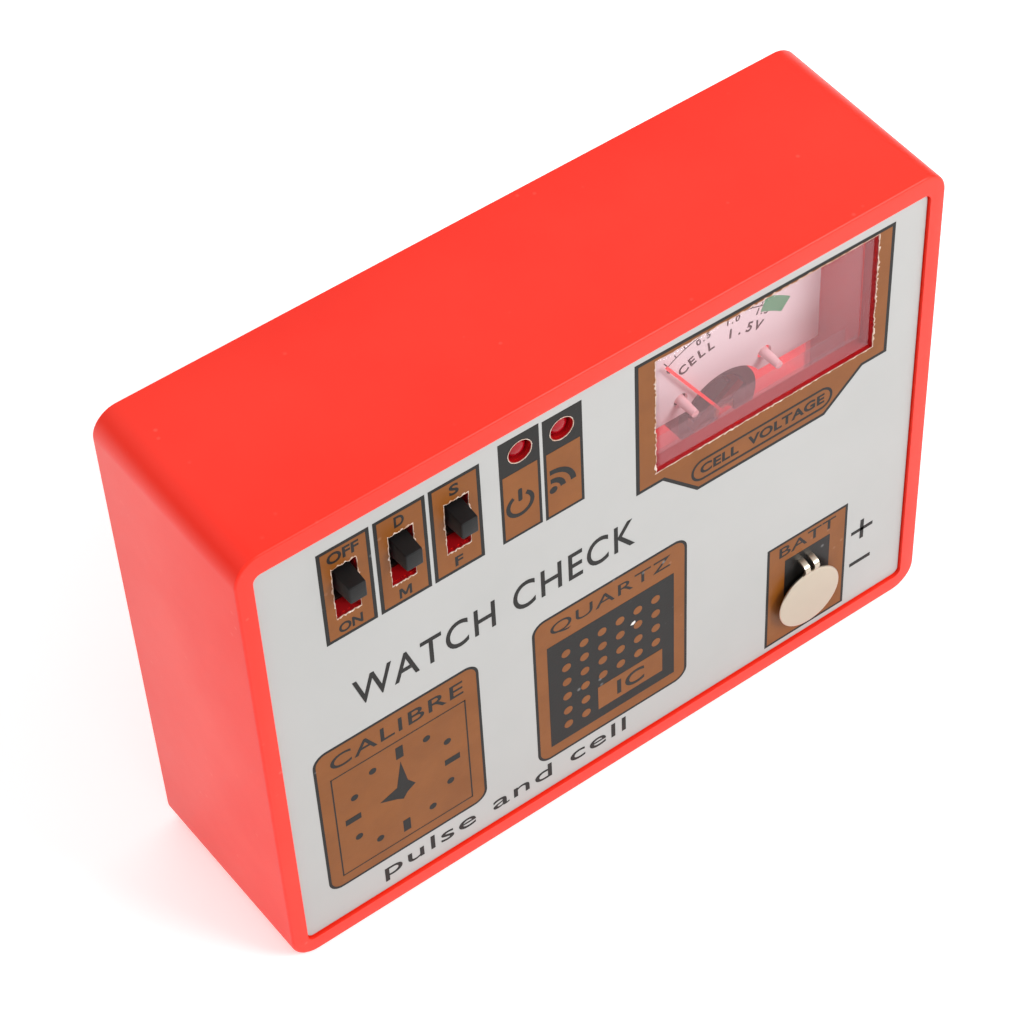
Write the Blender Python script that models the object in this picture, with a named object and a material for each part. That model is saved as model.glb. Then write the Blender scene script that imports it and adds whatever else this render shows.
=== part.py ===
"""Quartz watch tester: a red moulded case with slide switches, lamps, a needle meter and a cell contact.

Metres, +Z up. The tester stands on its long narrow side with its panel facing -Y and +X to the right.
Panel places are given as x from the case's left edge, y from the rim's front plane (positive inwards)
and z from the base; spot() turns them into the part's frame, whose origin is the base's centre.
"""

from math import cos, pi, radians, sin

import bmesh
import bpy
from mathutils import Matrix, Vector

MM = 0.001

# Case
WIDTH = 111.3 * MM
HEIGHT = 82.8 * MM
DEPTH = 31.4 * MM
WALL = 2.2 * MM
FRONT_WALL = 2.0 * MM
DRAFT = 0.5 * MM
CORNER_RADIUS = 4.0 * MM
RIM_FILLET = 0.4 * MM
CAVITY_RADIUS = 2.5 * MM
RIM = 2.5 * MM
RIM_BELOW = 2.8 * MM
RIM_ABOVE = 3.25 * MM
LABEL_DEPTH = 1.05 * MM
LABEL_THICKNESS = 0.25 * MM
GAP = 0.3 * MM
OVERCUT = 1.0 * MM

# Back cover, its screws and the battery door
COVER_THICKNESS = 2.4 * MM
SCREW_INSET = 6.0 * MM
BOSS_RADIUS = 3.9 * MM
SHANK_RADIUS = 1.2 * MM
SHANK_LENGTH = 12.0 * MM
HEAD_RADIUS = 2.3 * MM
HEAD_HEIGHT = 1.1 * MM
HEAD_SLOT = 0.6 * MM
DOOR_THICKNESS = 1.8 * MM
DOOR_LEDGE = 1.0 * MM

# Slide switches
SWITCH_COUNT = 3
SWITCH_LEFT = 15.25 * MM
SWITCH_PITCH = 8.4 * MM
SWITCH_DROP = 14.77 * MM
SLOT_WIDTH = 3.7 * MM
SLOT_HEIGHT = 9.2 * MM
KNOB_TIP_WIDTH = 2.6 * MM
KNOB_TIP_HEIGHT = 3.0 * MM
KNOB_STEM_HEIGHT = 4.4 * MM
KNOB_REACH = 2.9 * MM
KNOB_TRAVEL = 4.0 * MM
KNOB_BEVEL = 0.25 * MM
SLIDER_DEPTH = 2.6 * MM
FRAME_WALL = 0.5 * MM
SWITCH_BASE = 1.0 * MM

# Lamps
LAMP_PLACES = ((41.95 * MM, 8.17 * MM), (48.45 * MM, 8.37 * MM))
LAMP_NAMES = ("lamp_power", "lamp_signal")
LAMP_RADIUS = 1.5 * MM
LAMP_FLANGE = 0.4 * MM
LAMP_LENGTH = 5.3 * MM
LAMP_SUNK = 0.5 * MM

# Meter
METER_WIDTH = 36.5 * MM
METER_RIGHT = 11.15 * MM
WINDOW_HEIGHT = 20.3 * MM
WINDOW_DROP = 6.32 * MM
METER_SUNK = 0.5 * MM
METER_WALL = 1.1 * MM
METER_COVER_DEPTH = 11.3 * MM
METER_BASE_DEPTH = 7.9 * MM
SCALE_SUNK = 9.1 * MM
SCALE_THICKNESS = 0.5 * MM
SCALE_BOTTOM = 4.2 * MM
ARCH_RADIUS = 7.4 * MM
PIVOT_BELOW = 8.1 * MM
POINTER_REACH = 18.8 * MM
POINTER_WIDTH = 0.45 * MM
POINTER_LIFT = 0.8 * MM
POINTER_THICKNESS = 0.3 * MM
ZERO_ANGLE = radians(33.4)
HUB_RADIUS = 1.2 * MM
PIVOT_RADIUS = 0.45 * MM
YOKE_RADIUS = 6.8 * MM
YOKE_WALL = 1.6 * MM
MAGNET_DEPTH = 5.0 * MM
CORE_RADIUS = 3.4 * MM
COIL_WIRE = 0.8 * MM
COIL_THICKNESS = 1.6 * MM
PIN_SPREAD = 7.25 * MM
PIN_RISE = 6.7 * MM
PIN_RADIUS = 0.9 * MM
PIN_REACH = 3.2 * MM
PIN_TAPER = 0.65
SPRING_TURNS = 3
SPRING_STRIP = 0.15 * MM
SPRING_PITCH = 0.6 * MM
TERMINAL_RADIUS = 1.5 * MM
TERMINAL_LENGTH = 4.0 * MM
TERMINAL_SPREAD = 9.0 * MM

# Cell contact
CELL_RIGHT = 21.15 * MM
CELL_HEIGHT = 12.13 * MM
DISC_RADIUS = 5.5 * MM
DISC_THICKNESS = 0.5 * MM
PAD_RADIUS = 4.2 * MM
PAD_THICKNESS = 0.4 * MM
RIVET_RADIUS = 0.9 * MM
NECK_WIDTH = 2.6 * MM
NECK_SLIT = 0.8 * MM
NECK_THICKNESS = 0.4 * MM
NECK_RISE = 7.5 * MM
NECK_BULGE = 1.0 * MM

# Circuit board and what it carries
BOARD_FRONT = 9.1 * MM
BOARD_THICKNESS = 1.6 * MM
BOARD_LEFT = 11.05 * MM
BOARD_WIDTH = 47.0 * MM
BOARD_TOP_GAP = 5.47 * MM
BOARD_HEIGHT = 40.0 * MM
BOARD_HOLE_INSET = 3.2 * MM
BOARD_BOSS_RADIUS = 2.3 * MM
BOARD_SHANK = 0.9 * MM
BOARD_HEAD = 1.9 * MM
CHIP_SIZE = (19.0 * MM, 3.3 * MM, 6.4 * MM)
CHIP_LEGS = 7
CAPACITOR_RADIUS = 2.5 * MM
CAPACITOR_HEIGHT = 7.0 * MM
TRIMMER_SIZE = 6.6 * MM
TRIMMER_DEPTH = 3.6 * MM
ROTOR_RADIUS = 2.3 * MM
ROTOR_HEIGHT = 1.2 * MM

# Sensors
PIEZO_X = 20.25 * MM
PIEZO_Z = 22.63 * MM
PIEZO_RADIUS = 12.0 * MM
PIEZO_THICKNESS = 0.6 * MM
CERAMIC_RADIUS = 8.5 * MM
PICKUP_X = 55.35 * MM
PICKUP_Z = 21.63 * MM
CORE_ROD_RADIUS = 2.0 * MM
CORE_ROD_LENGTH = 24.0 * MM
WINDING_RADIUS = 3.5 * MM
WINDING_LENGTH = 14.0 * MM
BOBBIN_WALL = 0.5 * MM
BOBBIN_FLANGE = 0.8 * MM

# Battery
BATTERY_SIZE = (46.0 * MM, 17.3 * MM, 26.4 * MM)
BATTERY_LEFT = 11.65 * MM
BATTERY_BASE = 5.0 * MM
STUD_RADIUS = 3.0 * MM
STUD_HEIGHT = 2.4 * MM
STUD_SPREAD = 6.35 * MM
SNAP_THICKNESS = 4.2 * MM
LEAD_RADIUS = 0.6 * MM

ROUND = 24
SMALL_ROUND = 16

LABEL_FRONT = LABEL_DEPTH - GAP - LABEL_THICKNESS
INNER_FACE = LABEL_DEPTH + FRONT_WALL
KNOB_TIP = LABEL_FRONT - KNOB_REACH
CENTRE_Y = (DEPTH + KNOB_TIP) / 2
COVER_INSIDE = DEPTH - COVER_THICKNESS
SWITCH_Z = HEIGHT - SWITCH_DROP
METER_X = WIDTH - METER_RIGHT - METER_WIDTH / 2
WINDOW_TOP = HEIGHT - WINDOW_DROP
WINDOW_BASE = WINDOW_TOP - WINDOW_HEIGHT
PIVOT_Z = WINDOW_BASE - PIVOT_BELOW
CELL_X = WIDTH - CELL_RIGHT
METER_BASE_Z = PIVOT_Z - YOKE_RADIUS - METER_WALL - GAP
METER_FRONT = LABEL_FRONT + METER_SUNK
METER_JOIN = METER_FRONT + METER_COVER_DEPTH
SCALE_FRONT = LABEL_FRONT + SCALE_SUNK
RING_FRONT = SCALE_FRONT + SCALE_THICKNESS + 2 * GAP
HINGE_Z = CELL_HEIGHT + NECK_RISE
HINGE_Y = LABEL_FRONT + GAP

materials = {}


def spot(x, y, z):
    """The part's frame for a panel place."""
    return Vector((x - WIDTH / 2, y - CENTRE_Y, z))


def finish(name, colour, roughness, metallic=0.0, alpha=1.0):
    material = bpy.data.materials.new(name)
    material.use_nodes = True
    shader = material.node_tree.nodes["Principled BSDF"]
    shader.inputs["Base Color"].default_value = (*colour, 1.0)
    shader.inputs["Roughness"].default_value = roughness
    shader.inputs["Metallic"].default_value = metallic
    shader.inputs["Alpha"].default_value = alpha
    materials[name] = material


def add_box(mesh, low, high, bevel=0.0, along=None, segments=4):
    """A box between two corners. A bevel rounds its edges along one axis, or all of them."""
    size = [b - a for a, b in zip(low, high)]
    middle = (Vector(low) + Vector(high)) / 2
    place = Matrix.Translation(middle) @ Matrix.Diagonal((*size, 1.0))
    verts = bmesh.ops.create_cube(mesh, size=1.0, matrix=place)["verts"]
    if bevel:
        edges = {edge for vert in verts for edge in vert.link_edges}
        if along is not None:
            half = size[along] / 2
            edges = {edge for edge in edges if abs((edge.verts[0].co - edge.verts[1].co)[along]) > half}
        bmesh.ops.bevel(mesh, geom=list(edges), offset=bevel, segments=segments, profile=0.5, affect="EDGES")
    return mesh


def add_round(mesh, start, length, radius, tip=None, sides=ROUND, axis="Y"):
    """A cylinder, or a cone down to radius tip, from start along +axis."""
    turns = {"X": Matrix.Rotation(pi / 2, 4, "Y"), "Y": Matrix.Rotation(-pi / 2, 4, "X"), "Z": Matrix()}
    place = Matrix.Translation(start) @ turns[axis] @ Matrix.Translation((0, 0, length / 2))
    end = radius if tip is None else tip
    bmesh.ops.create_cone(
        mesh, cap_ends=True, segments=sides, radius1=radius, radius2=end, depth=length, matrix=place
    )
    return mesh


def box(low, high, **rounding):
    return add_box(bmesh.new(), low, high, **rounding)


def rod(start, length, radius, **shape):
    return add_round(bmesh.new(), start, length, radius, **shape)


def shape_object(name, mesh, origin):
    bmesh.ops.recalc_face_normals(mesh, faces=mesh.faces)
    bmesh.ops.translate(mesh, verts=mesh.verts, vec=-origin)
    data = bpy.data.meshes.new(name)
    mesh.to_mesh(data)
    mesh.free()
    data.shade_smooth()
    data.set_sharp_from_angle(angle=radians(35))
    shape = bpy.data.objects.new(name, data)
    shape.location = origin
    bpy.context.scene.collection.objects.link(shape)
    return shape


def piece(name, mesh, material, origin=None, parent=None):
    """A named sub-part, with its origin at its own middle unless one is given."""
    if origin is None:
        corners = [vert.co for vert in mesh.verts]
        origin = Vector([(min(c[i] for c in corners) + max(c[i] for c in corners)) / 2 for i in range(3)])
    shape = shape_object(name, mesh, origin)
    shape.data.materials.append(materials[material])
    shape.parent = parent or tester
    shape.location = origin - shape.parent.location
    return shape


def combine(shape, mesh, operation):
    tool = shape_object(f"{shape.name}_tool_{len(shape.modifiers) + 1}", mesh, Vector())
    tool.hide_render = True
    tool.display_type = "WIRE"
    modifier = shape.modifiers.new(operation.title(), "BOOLEAN")
    modifier.operation = operation
    modifier.object = tool


def cut(shape, *meshes):
    for mesh in meshes:
        combine(shape, mesh, "DIFFERENCE")


def join(shape, *meshes):
    for mesh in meshes:
        combine(shape, mesh, "UNION")


def empty(name, place):
    marker = bpy.data.objects.new(name, None)
    marker.empty_display_size = 0.01
    marker.location = place
    bpy.context.scene.collection.objects.link(marker)
    return marker


def screw_places():
    for x in (SCREW_INSET, WIDTH - SCREW_INSET):
        for z in (SCREW_INSET, HEIGHT - SCREW_INSET):
            yield x, z


def board_screw_places():
    left, right = BOARD_LEFT + BOARD_HOLE_INSET, BOARD_LEFT + BOARD_WIDTH - BOARD_HOLE_INSET
    low = HEIGHT - BOARD_TOP_GAP - BOARD_HEIGHT + BOARD_HOLE_INSET
    yield left, low
    yield right, low
    yield right, low + BOARD_HEIGHT / 2


def panel_openings(margin):
    """Cutters for everything that shows through the panel, each with a margin all round."""
    reach = INNER_FACE + OVERCUT
    for index in range(SWITCH_COUNT):
        x = SWITCH_LEFT + index * SWITCH_PITCH
        yield box(
            spot(x - SLOT_WIDTH / 2 - margin, -OVERCUT, SWITCH_Z - SLOT_HEIGHT / 2 - margin),
            spot(x + SLOT_WIDTH / 2 + margin, reach, SWITCH_Z + SLOT_HEIGHT / 2 + margin),
        )
    for x, drop in LAMP_PLACES:
        yield rod(spot(x, -OVERCUT, HEIGHT - drop), reach + OVERCUT, LAMP_RADIUS + GAP + margin)
    half = METER_WIDTH / 2 + GAP + margin
    yield box(
        spot(METER_X - half, -OVERCUT, WINDOW_BASE - GAP - margin),
        spot(METER_X + half, reach, WINDOW_TOP + GAP + margin),
    )
    yield rod(spot(CELL_X, -OVERCUT, CELL_HEIGHT), reach + OVERCUT, RIVET_RADIUS + GAP + margin)
    half_neck = NECK_WIDTH / 2 + GAP + margin
    half_slot = NECK_THICKNESS + GAP + margin
    yield box(
        spot(CELL_X - half_neck, -OVERCUT, CELL_HEIGHT + NECK_RISE - half_slot),
        spot(CELL_X + half_neck, reach, CELL_HEIGHT + NECK_RISE + half_slot),
    )


def case_outline():
    """The drafted outer block: wider and taller at the back, flat underneath, with rounded corners and rim."""
    mesh = box(spot(0, 0, 0), spot(WIDTH, DEPTH, HEIGHT))
    back = spot(0, DEPTH, 0).y
    for vert in mesh.verts:
        if abs(vert.co.y - back) < MM:
            vert.co.x += DRAFT if vert.co.x > 0 else -DRAFT
            vert.co.z += DRAFT if vert.co.z > HEIGHT / 2 else 0.0
    corners = [e for e in mesh.edges if abs(e.verts[0].co.y - e.verts[1].co.y) > DEPTH / 2]
    bmesh.ops.bevel(mesh, geom=corners, offset=CORNER_RADIUS, segments=8, profile=0.5, affect="EDGES")
    front = spot(0, 0, 0).y
    rim = [e for e in mesh.edges if all(abs(v.co.y - front) < MM / 100 for v in e.verts)]
    bmesh.ops.bevel(mesh, geom=rim, offset=RIM_FILLET, segments=3, profile=0.5, affect="EDGES")
    return mesh


def case_shell():
    shell = piece("case_shell", case_outline(), "red_plastic")
    cut(
        shell,
        box(
            spot(RIM, -OVERCUT, RIM_BELOW),
            spot(WIDTH - RIM, LABEL_DEPTH, HEIGHT - RIM_ABOVE),
            bevel=RIM / 2, along=1,
        ),
        box(
            spot(WALL, INNER_FACE, WALL), spot(WIDTH - WALL, DEPTH + OVERCUT, HEIGHT - WALL),
            bevel=CAVITY_RADIUS, along=1,
        ),
    )
    root = INNER_FACE - FRONT_WALL / 2
    boss_end = COVER_INSIDE - GAP
    for x, z in screw_places():
        join(shell, rod(spot(x, root, z), boss_end - root, BOSS_RADIUS))
    board_boss = BOARD_FRONT - GAP - root
    for x, z in board_screw_places():
        join(shell, rod(spot(x, root, z), board_boss, BOARD_BOSS_RADIUS, sides=SMALL_ROUND))
    half = CORE_ROD_LENGTH / 2 - 2 * MM
    for x in (PICKUP_X - half, PICKUP_X + half):
        join(shell, cradle(x))
    for x, z in screw_places():
        depth = SHANK_LENGTH + 2 * GAP
        hole = rod(spot(x, boss_end - depth, z), depth + OVERCUT, SHANK_RADIUS + GAP, sides=SMALL_ROUND)
        cut(shell, hole)
    for x, z in board_screw_places():
        depth = BOARD_FRONT - INNER_FACE - GAP
        hole = rod(spot(x, INNER_FACE, z), depth + OVERCUT, BOARD_SHANK + GAP, sides=SMALL_ROUND)
        cut(shell, hole)
    cut(shell, *panel_openings(0.0))


def cradle(x):
    """An upright rib with a notch that holds one end of the pickup's core rod."""
    half = CORE_ROD_RADIUS + GAP
    axis_y = INNER_FACE + GAP + WINDING_RADIUS + GAP
    low = spot(x - 0.8 * MM, INNER_FACE - FRONT_WALL / 2, PICKUP_Z - half - WALL)
    high = spot(x + 0.8 * MM, axis_y - half, PICKUP_Z + half + WALL)
    return box(low, high)


def front_label():
    low = spot(RIM + GAP, LABEL_FRONT, RIM_BELOW + GAP)
    high = spot(WIDTH - RIM - GAP, LABEL_FRONT + LABEL_THICKNESS, HEIGHT - RIM_ABOVE - GAP)
    label = piece(
        "front_label",
        box(low, high, bevel=RIM / 2, along=1),
        "label_film",
    )
    cut(label, *panel_openings(0.0))


def door_span():
    """Low and high x, then low and high z, of the battery door's opening."""
    left = BATTERY_LEFT - 2 * MM
    right = BATTERY_LEFT + BATTERY_SIZE[0] + SNAP_THICKNESS + 2 * MM
    return left, right, BATTERY_BASE + DOOR_LEDGE, BATTERY_BASE + BATTERY_SIZE[2] + DOOR_LEDGE


def back_cover():
    edge = WALL + GAP
    cover = piece(
        "back_cover",
        box(
            spot(edge, COVER_INSIDE, edge), spot(WIDTH - edge, DEPTH, HEIGHT - edge),
            bevel=CAVITY_RADIUS, along=1,
        ),
        "red_plastic",
    )
    left, right, low, high = door_span()
    pocket_floor = DEPTH - DOOR_THICKNESS - GAP
    seat = box(spot(left, pocket_floor, low), spot(right, DEPTH + OVERCUT, high))
    through = box(
        spot(left + DOOR_LEDGE, COVER_INSIDE - OVERCUT, low + DOOR_LEDGE),
        spot(right - DOOR_LEDGE, DEPTH + OVERCUT, high - DOOR_LEDGE),
    )
    cut(cover, seat, through)
    for x, z in screw_places():
        sunk = HEAD_HEIGHT + 2 * GAP
        head = rod(spot(x, DEPTH - sunk, z), sunk + OVERCUT, HEAD_RADIUS + GAP)
        start = COVER_INSIDE - OVERCUT
        shank = rod(spot(x, start, z), DEPTH - start, SHANK_RADIUS + GAP, sides=SMALL_ROUND)
        cut(cover, head, shank)


def battery_door():
    """The door swings about its outer left edge, so its origin is on that edge."""
    left, right, low, high = door_span()
    hinge = spot(left + GAP, DEPTH, (low + high) / 2)
    door = piece(
        "battery_door",
        box(spot(left + GAP, DEPTH - DOOR_THICKNESS, low + GAP), spot(right - GAP, DEPTH, high - GAP)),
        "red_plastic",
        origin=hinge,
    )
    thumb = right - 5 * MM
    groove = 0.6 * MM
    for step in range(4):
        x = thumb - step * 2 * groove
        groove_low = spot(x, DEPTH - groove, low + 8 * MM)
        groove_high = spot(x + groove, DEPTH + OVERCUT, high - 8 * MM)
        cut(door, box(groove_low, groove_high))


def slotted_screw(name, x, z, head_top, shank_radius, shank_length, head_radius, head_height):
    screw = piece(
        name,
        rod(spot(x, head_top - head_height, z), head_height, head_radius),
        "zinc",
    )
    overlap = head_height / 2
    shank_start = head_top - head_height - shank_length
    join(screw, rod(spot(x, shank_start, z), shank_length + overlap, shank_radius, sides=SMALL_ROUND))
    half = HEAD_SLOT / 2
    cut(
        screw,
        box(
            spot(x - head_radius - OVERCUT, head_top - HEAD_SLOT, z - half),
            spot(x + head_radius + OVERCUT, head_top + OVERCUT, z + half),
        ),
    )


def screws():
    for index, (x, z) in enumerate(screw_places(), 1):
        head_top = DEPTH - GAP / 2
        slotted_screw(
            f"cover_screw_{index}", x, z, head_top,
            SHANK_RADIUS, SHANK_LENGTH, HEAD_RADIUS, HEAD_HEIGHT,
        )
    for index, (x, z) in enumerate(board_screw_places(), 1):
        head_height = 1.0 * MM
        head_top = BOARD_FRONT + BOARD_THICKNESS + GAP + head_height
        length = BOARD_THICKNESS + 2 * GAP + 4 * MM
        slotted_screw(f"board_screw_{index}", x, z, head_top, BOARD_SHANK, length, BOARD_HEAD, head_height)


def circuit_board():
    top = HEIGHT - BOARD_TOP_GAP
    board = piece(
        "circuit_board",
        box(
            spot(BOARD_LEFT, BOARD_FRONT, top - BOARD_HEIGHT),
            spot(BOARD_LEFT + BOARD_WIDTH, BOARD_FRONT + BOARD_THICKNESS, top),
        ),
        "board_laminate",
    )
    start = BOARD_FRONT - OVERCUT
    for x, z in board_screw_places():
        hole = rod(spot(x, start, z), BOARD_THICKNESS + 2 * OVERCUT, BOARD_SHANK + GAP, sides=SMALL_ROUND)
        cut(board, hole)


def slide_switch(index):
    x = SWITCH_LEFT + index * SWITCH_PITCH
    number = index + 1
    front = INNER_FACE + GAP
    half_width = SWITCH_PITCH / 2 - 2.5 * GAP
    half_height = SLOT_HEIGHT / 2 + FRAME_WALL + 1.3 * MM
    slider_front = front + FRAME_WALL + GAP
    back = BOARD_FRONT - 2 * GAP - SWITCH_BASE
    frame = piece(
        f"switch_frame_{number}",
        box(
            spot(x - half_width, front, SWITCH_Z - half_height),
            spot(x + half_width, back, SWITCH_Z + half_height),
        ),
        "switch_steel",
    )
    inner = FRAME_WALL
    cut(
        frame,
        box(
            spot(x - half_width + inner, front + FRAME_WALL, SWITCH_Z - half_height + inner),
            spot(x + half_width - inner, back + OVERCUT, SWITCH_Z + half_height - inner),
        ),
        box(
            spot(x - SLOT_WIDTH / 2, front - OVERCUT, SWITCH_Z - SLOT_HEIGHT / 2),
            spot(x + SLOT_WIDTH / 2, front + 2 * OVERCUT, SWITCH_Z + SLOT_HEIGHT / 2),
        ),
    )
    piece(
        f"switch_base_{number}",
        box(
            spot(x - half_width, back + GAP, SWITCH_Z - half_height),
            spot(x + half_width, back + GAP + SWITCH_BASE, SWITCH_Z + half_height),
        ),
        "phenolic",
    )
    rest = SWITCH_Z + KNOB_TRAVEL / 2
    stem_width = SLOT_WIDTH - 2 * GAP
    stem = box(
        spot(x - stem_width / 2, KNOB_TIP, rest - KNOB_STEM_HEIGHT / 2),
        spot(x + stem_width / 2, slider_front + FRAME_WALL, rest + KNOB_STEM_HEIGHT / 2),
    )
    tip = spot(0, KNOB_TIP, 0).y
    tip_corners = [v for v in stem.verts if abs(v.co.y - tip) < MM / 10]
    for vert in tip_corners:
        vert.co.x = spot(x, 0, 0).x + (vert.co.x - spot(x, 0, 0).x) * KNOB_TIP_WIDTH / stem_width
        vert.co.z = rest + (vert.co.z - rest) * KNOB_TIP_HEIGHT / KNOB_STEM_HEIGHT
    top_edges = [e for e in stem.edges if any(v in tip_corners for v in e.verts)]
    bmesh.ops.bevel(stem, geom=top_edges, offset=KNOB_BEVEL, segments=2, profile=0.5, affect="EDGES")
    knob = piece(f"switch_knob_{number}", stem, "knob_plastic", origin=spot(x, KNOB_TIP, rest))
    half_slider = half_width - FRAME_WALL - GAP
    slider_half_height = half_height - FRAME_WALL - KNOB_TRAVEL / 2 - GAP
    join(
        knob,
        box(
            spot(x - half_slider, slider_front, rest - slider_half_height),
            spot(x + half_slider, slider_front + SLIDER_DEPTH, rest + slider_half_height),
        ),
    )


def lamp(name, x, z):
    tip = LABEL_FRONT + LAMP_SUNK
    dome_centre = tip + LAMP_RADIUS
    body = rod(spot(x, dome_centre, z), LAMP_LENGTH - LAMP_RADIUS, LAMP_RADIUS)
    front = spot(0, dome_centre, 0).y
    cap = [f for f in body.faces if all(abs(v.co.y - front) < MM / 100 for v in f.verts)]
    rings = 5
    for ring in range(1, rings):
        angle = ring * pi / 2 / rings
        previous = angle - pi / 2 / rings
        grown = bmesh.ops.extrude_discrete_faces(body, faces=cap)["faces"]
        step = LAMP_RADIUS * (sin(angle) - sin(previous))
        scale = cos(angle) / cos(previous)
        verts = {v for f in grown for v in f.verts}
        middle = spot(x, 0, z)
        for vert in verts:
            vert.co.y -= step
            vert.co.x = middle.x + (vert.co.x - middle.x) * scale
            vert.co.z = middle.z + (vert.co.z - middle.z) * scale
        cap = grown
    lens = piece(name, body, "lamp_red")
    flange_end = tip + LAMP_LENGTH
    flange = rod(spot(x, flange_end - 1.0 * MM, z), 1.0 * MM, LAMP_RADIUS + LAMP_FLANGE)
    join(lens, flange)


def meter_cover():
    half = METER_WIDTH / 2
    front = METER_FRONT
    body_front = INNER_FACE + GAP
    back = METER_JOIN
    low_x, high_x = METER_X - half, METER_X + half
    cover = piece(
        "meter_cover",
        box(spot(low_x, front, WINDOW_BASE), spot(high_x, back, WINDOW_TOP), bevel=0.4 * MM, segments=2),
        "clear_styrene",
    )
    join(cover, box(spot(low_x, body_front, METER_BASE_Z), spot(high_x, back, WINDOW_TOP)))
    wall = METER_WALL
    cut(
        cover,
        box(
            spot(low_x + wall, front + wall, WINDOW_BASE + wall),
            spot(high_x - wall, back + OVERCUT, WINDOW_TOP - wall),
        ),
        box(
            spot(low_x + wall, body_front + wall, METER_BASE_Z + wall),
            spot(high_x - wall, back + OVERCUT, WINDOW_TOP - wall),
        ),
    )


def meter_base():
    half = METER_WIDTH / 2
    front = METER_JOIN + GAP
    back = front + METER_BASE_DEPTH
    tray = piece(
        "meter_base",
        box(spot(METER_X - half, front, METER_BASE_Z), spot(METER_X + half, back, WINDOW_TOP)),
        "meter_pink",
    )
    wall = METER_WALL
    cut(
        tray,
        box(
            spot(METER_X - half + wall, front - OVERCUT, METER_BASE_Z + wall),
            spot(METER_X + half - wall, back - wall, WINDOW_TOP - wall),
        ),
    )
    for index, side in enumerate((-1, 1), 1):
        x = METER_X + side * TERMINAL_SPREAD
        z = (WINDOW_BASE + WINDOW_TOP) / 2
        stud = rod(spot(x, back + GAP, z), 1.6 * MM, 2 * TERMINAL_RADIUS, sides=6)
        terminal = piece(f"meter_terminal_{index}", stud, "brass")
        post = spot(x, back + GAP + OVERCUT, z)
        join(terminal, rod(post, TERMINAL_LENGTH, TERMINAL_RADIUS, sides=SMALL_ROUND))


def meter_scale():
    front = SCALE_FRONT
    inset = METER_WALL + GAP
    half = METER_WIDTH / 2 - inset
    plate = piece(
        "meter_scale",
        box(
            spot(METER_X - half, front, WINDOW_BASE - SCALE_BOTTOM),
            spot(METER_X + half, front + SCALE_THICKNESS, WINDOW_TOP - inset),
        ),
        "scale_white",
    )
    start = front - OVERCUT
    depth = SCALE_THICKNESS + 2 * OVERCUT
    cut(plate, rod(spot(METER_X, start, PIVOT_Z), depth, ARCH_RADIUS, sides=48))
    for side in (-1, 1):
        x = METER_X + side * PIN_SPREAD
        z = PIVOT_Z + PIN_RISE
        cut(plate, rod(spot(x, start, z), depth, PIN_RADIUS + GAP, sides=SMALL_ROUND))
        name = "scale_pin_left" if side < 0 else "scale_pin_right"
        pin_front = front - PIN_REACH
        length = METER_JOIN - pin_front
        pin = rod(spot(x, pin_front, z), length, PIN_TAPER * PIN_RADIUS, tip=PIN_RADIUS, sides=SMALL_ROUND)
        piece(name, pin, "pin_plastic")


def meter_magnet():
    """The iron ring, and the core inside it on two struts that the coil never reaches."""
    front = RING_FRONT
    outside = rod(spot(METER_X, front, PIVOT_Z), MAGNET_DEPTH, YOKE_RADIUS, sides=48)
    ring = piece("meter_magnet", outside, "iron_black")
    start = front - OVERCUT
    through = MAGNET_DEPTH + 2 * OVERCUT
    cut(ring, rod(spot(METER_X, start, PIVOT_Z), through, YOKE_RADIUS - YOKE_WALL, sides=48))
    core_front = front + COIL_WIRE
    core_depth = MAGNET_DEPTH - 2 * COIL_WIRE
    strut = YOKE_RADIUS - YOKE_WALL / 2
    join(
        ring,
        rod(spot(METER_X, core_front, PIVOT_Z), core_depth, CORE_RADIUS, sides=32),
        box(
            spot(METER_X - 0.8 * MM, core_front + COIL_WIRE, PIVOT_Z - strut),
            spot(METER_X + 0.8 * MM, core_front + core_depth - COIL_WIRE, PIVOT_Z + strut),
        ),
    )


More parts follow.
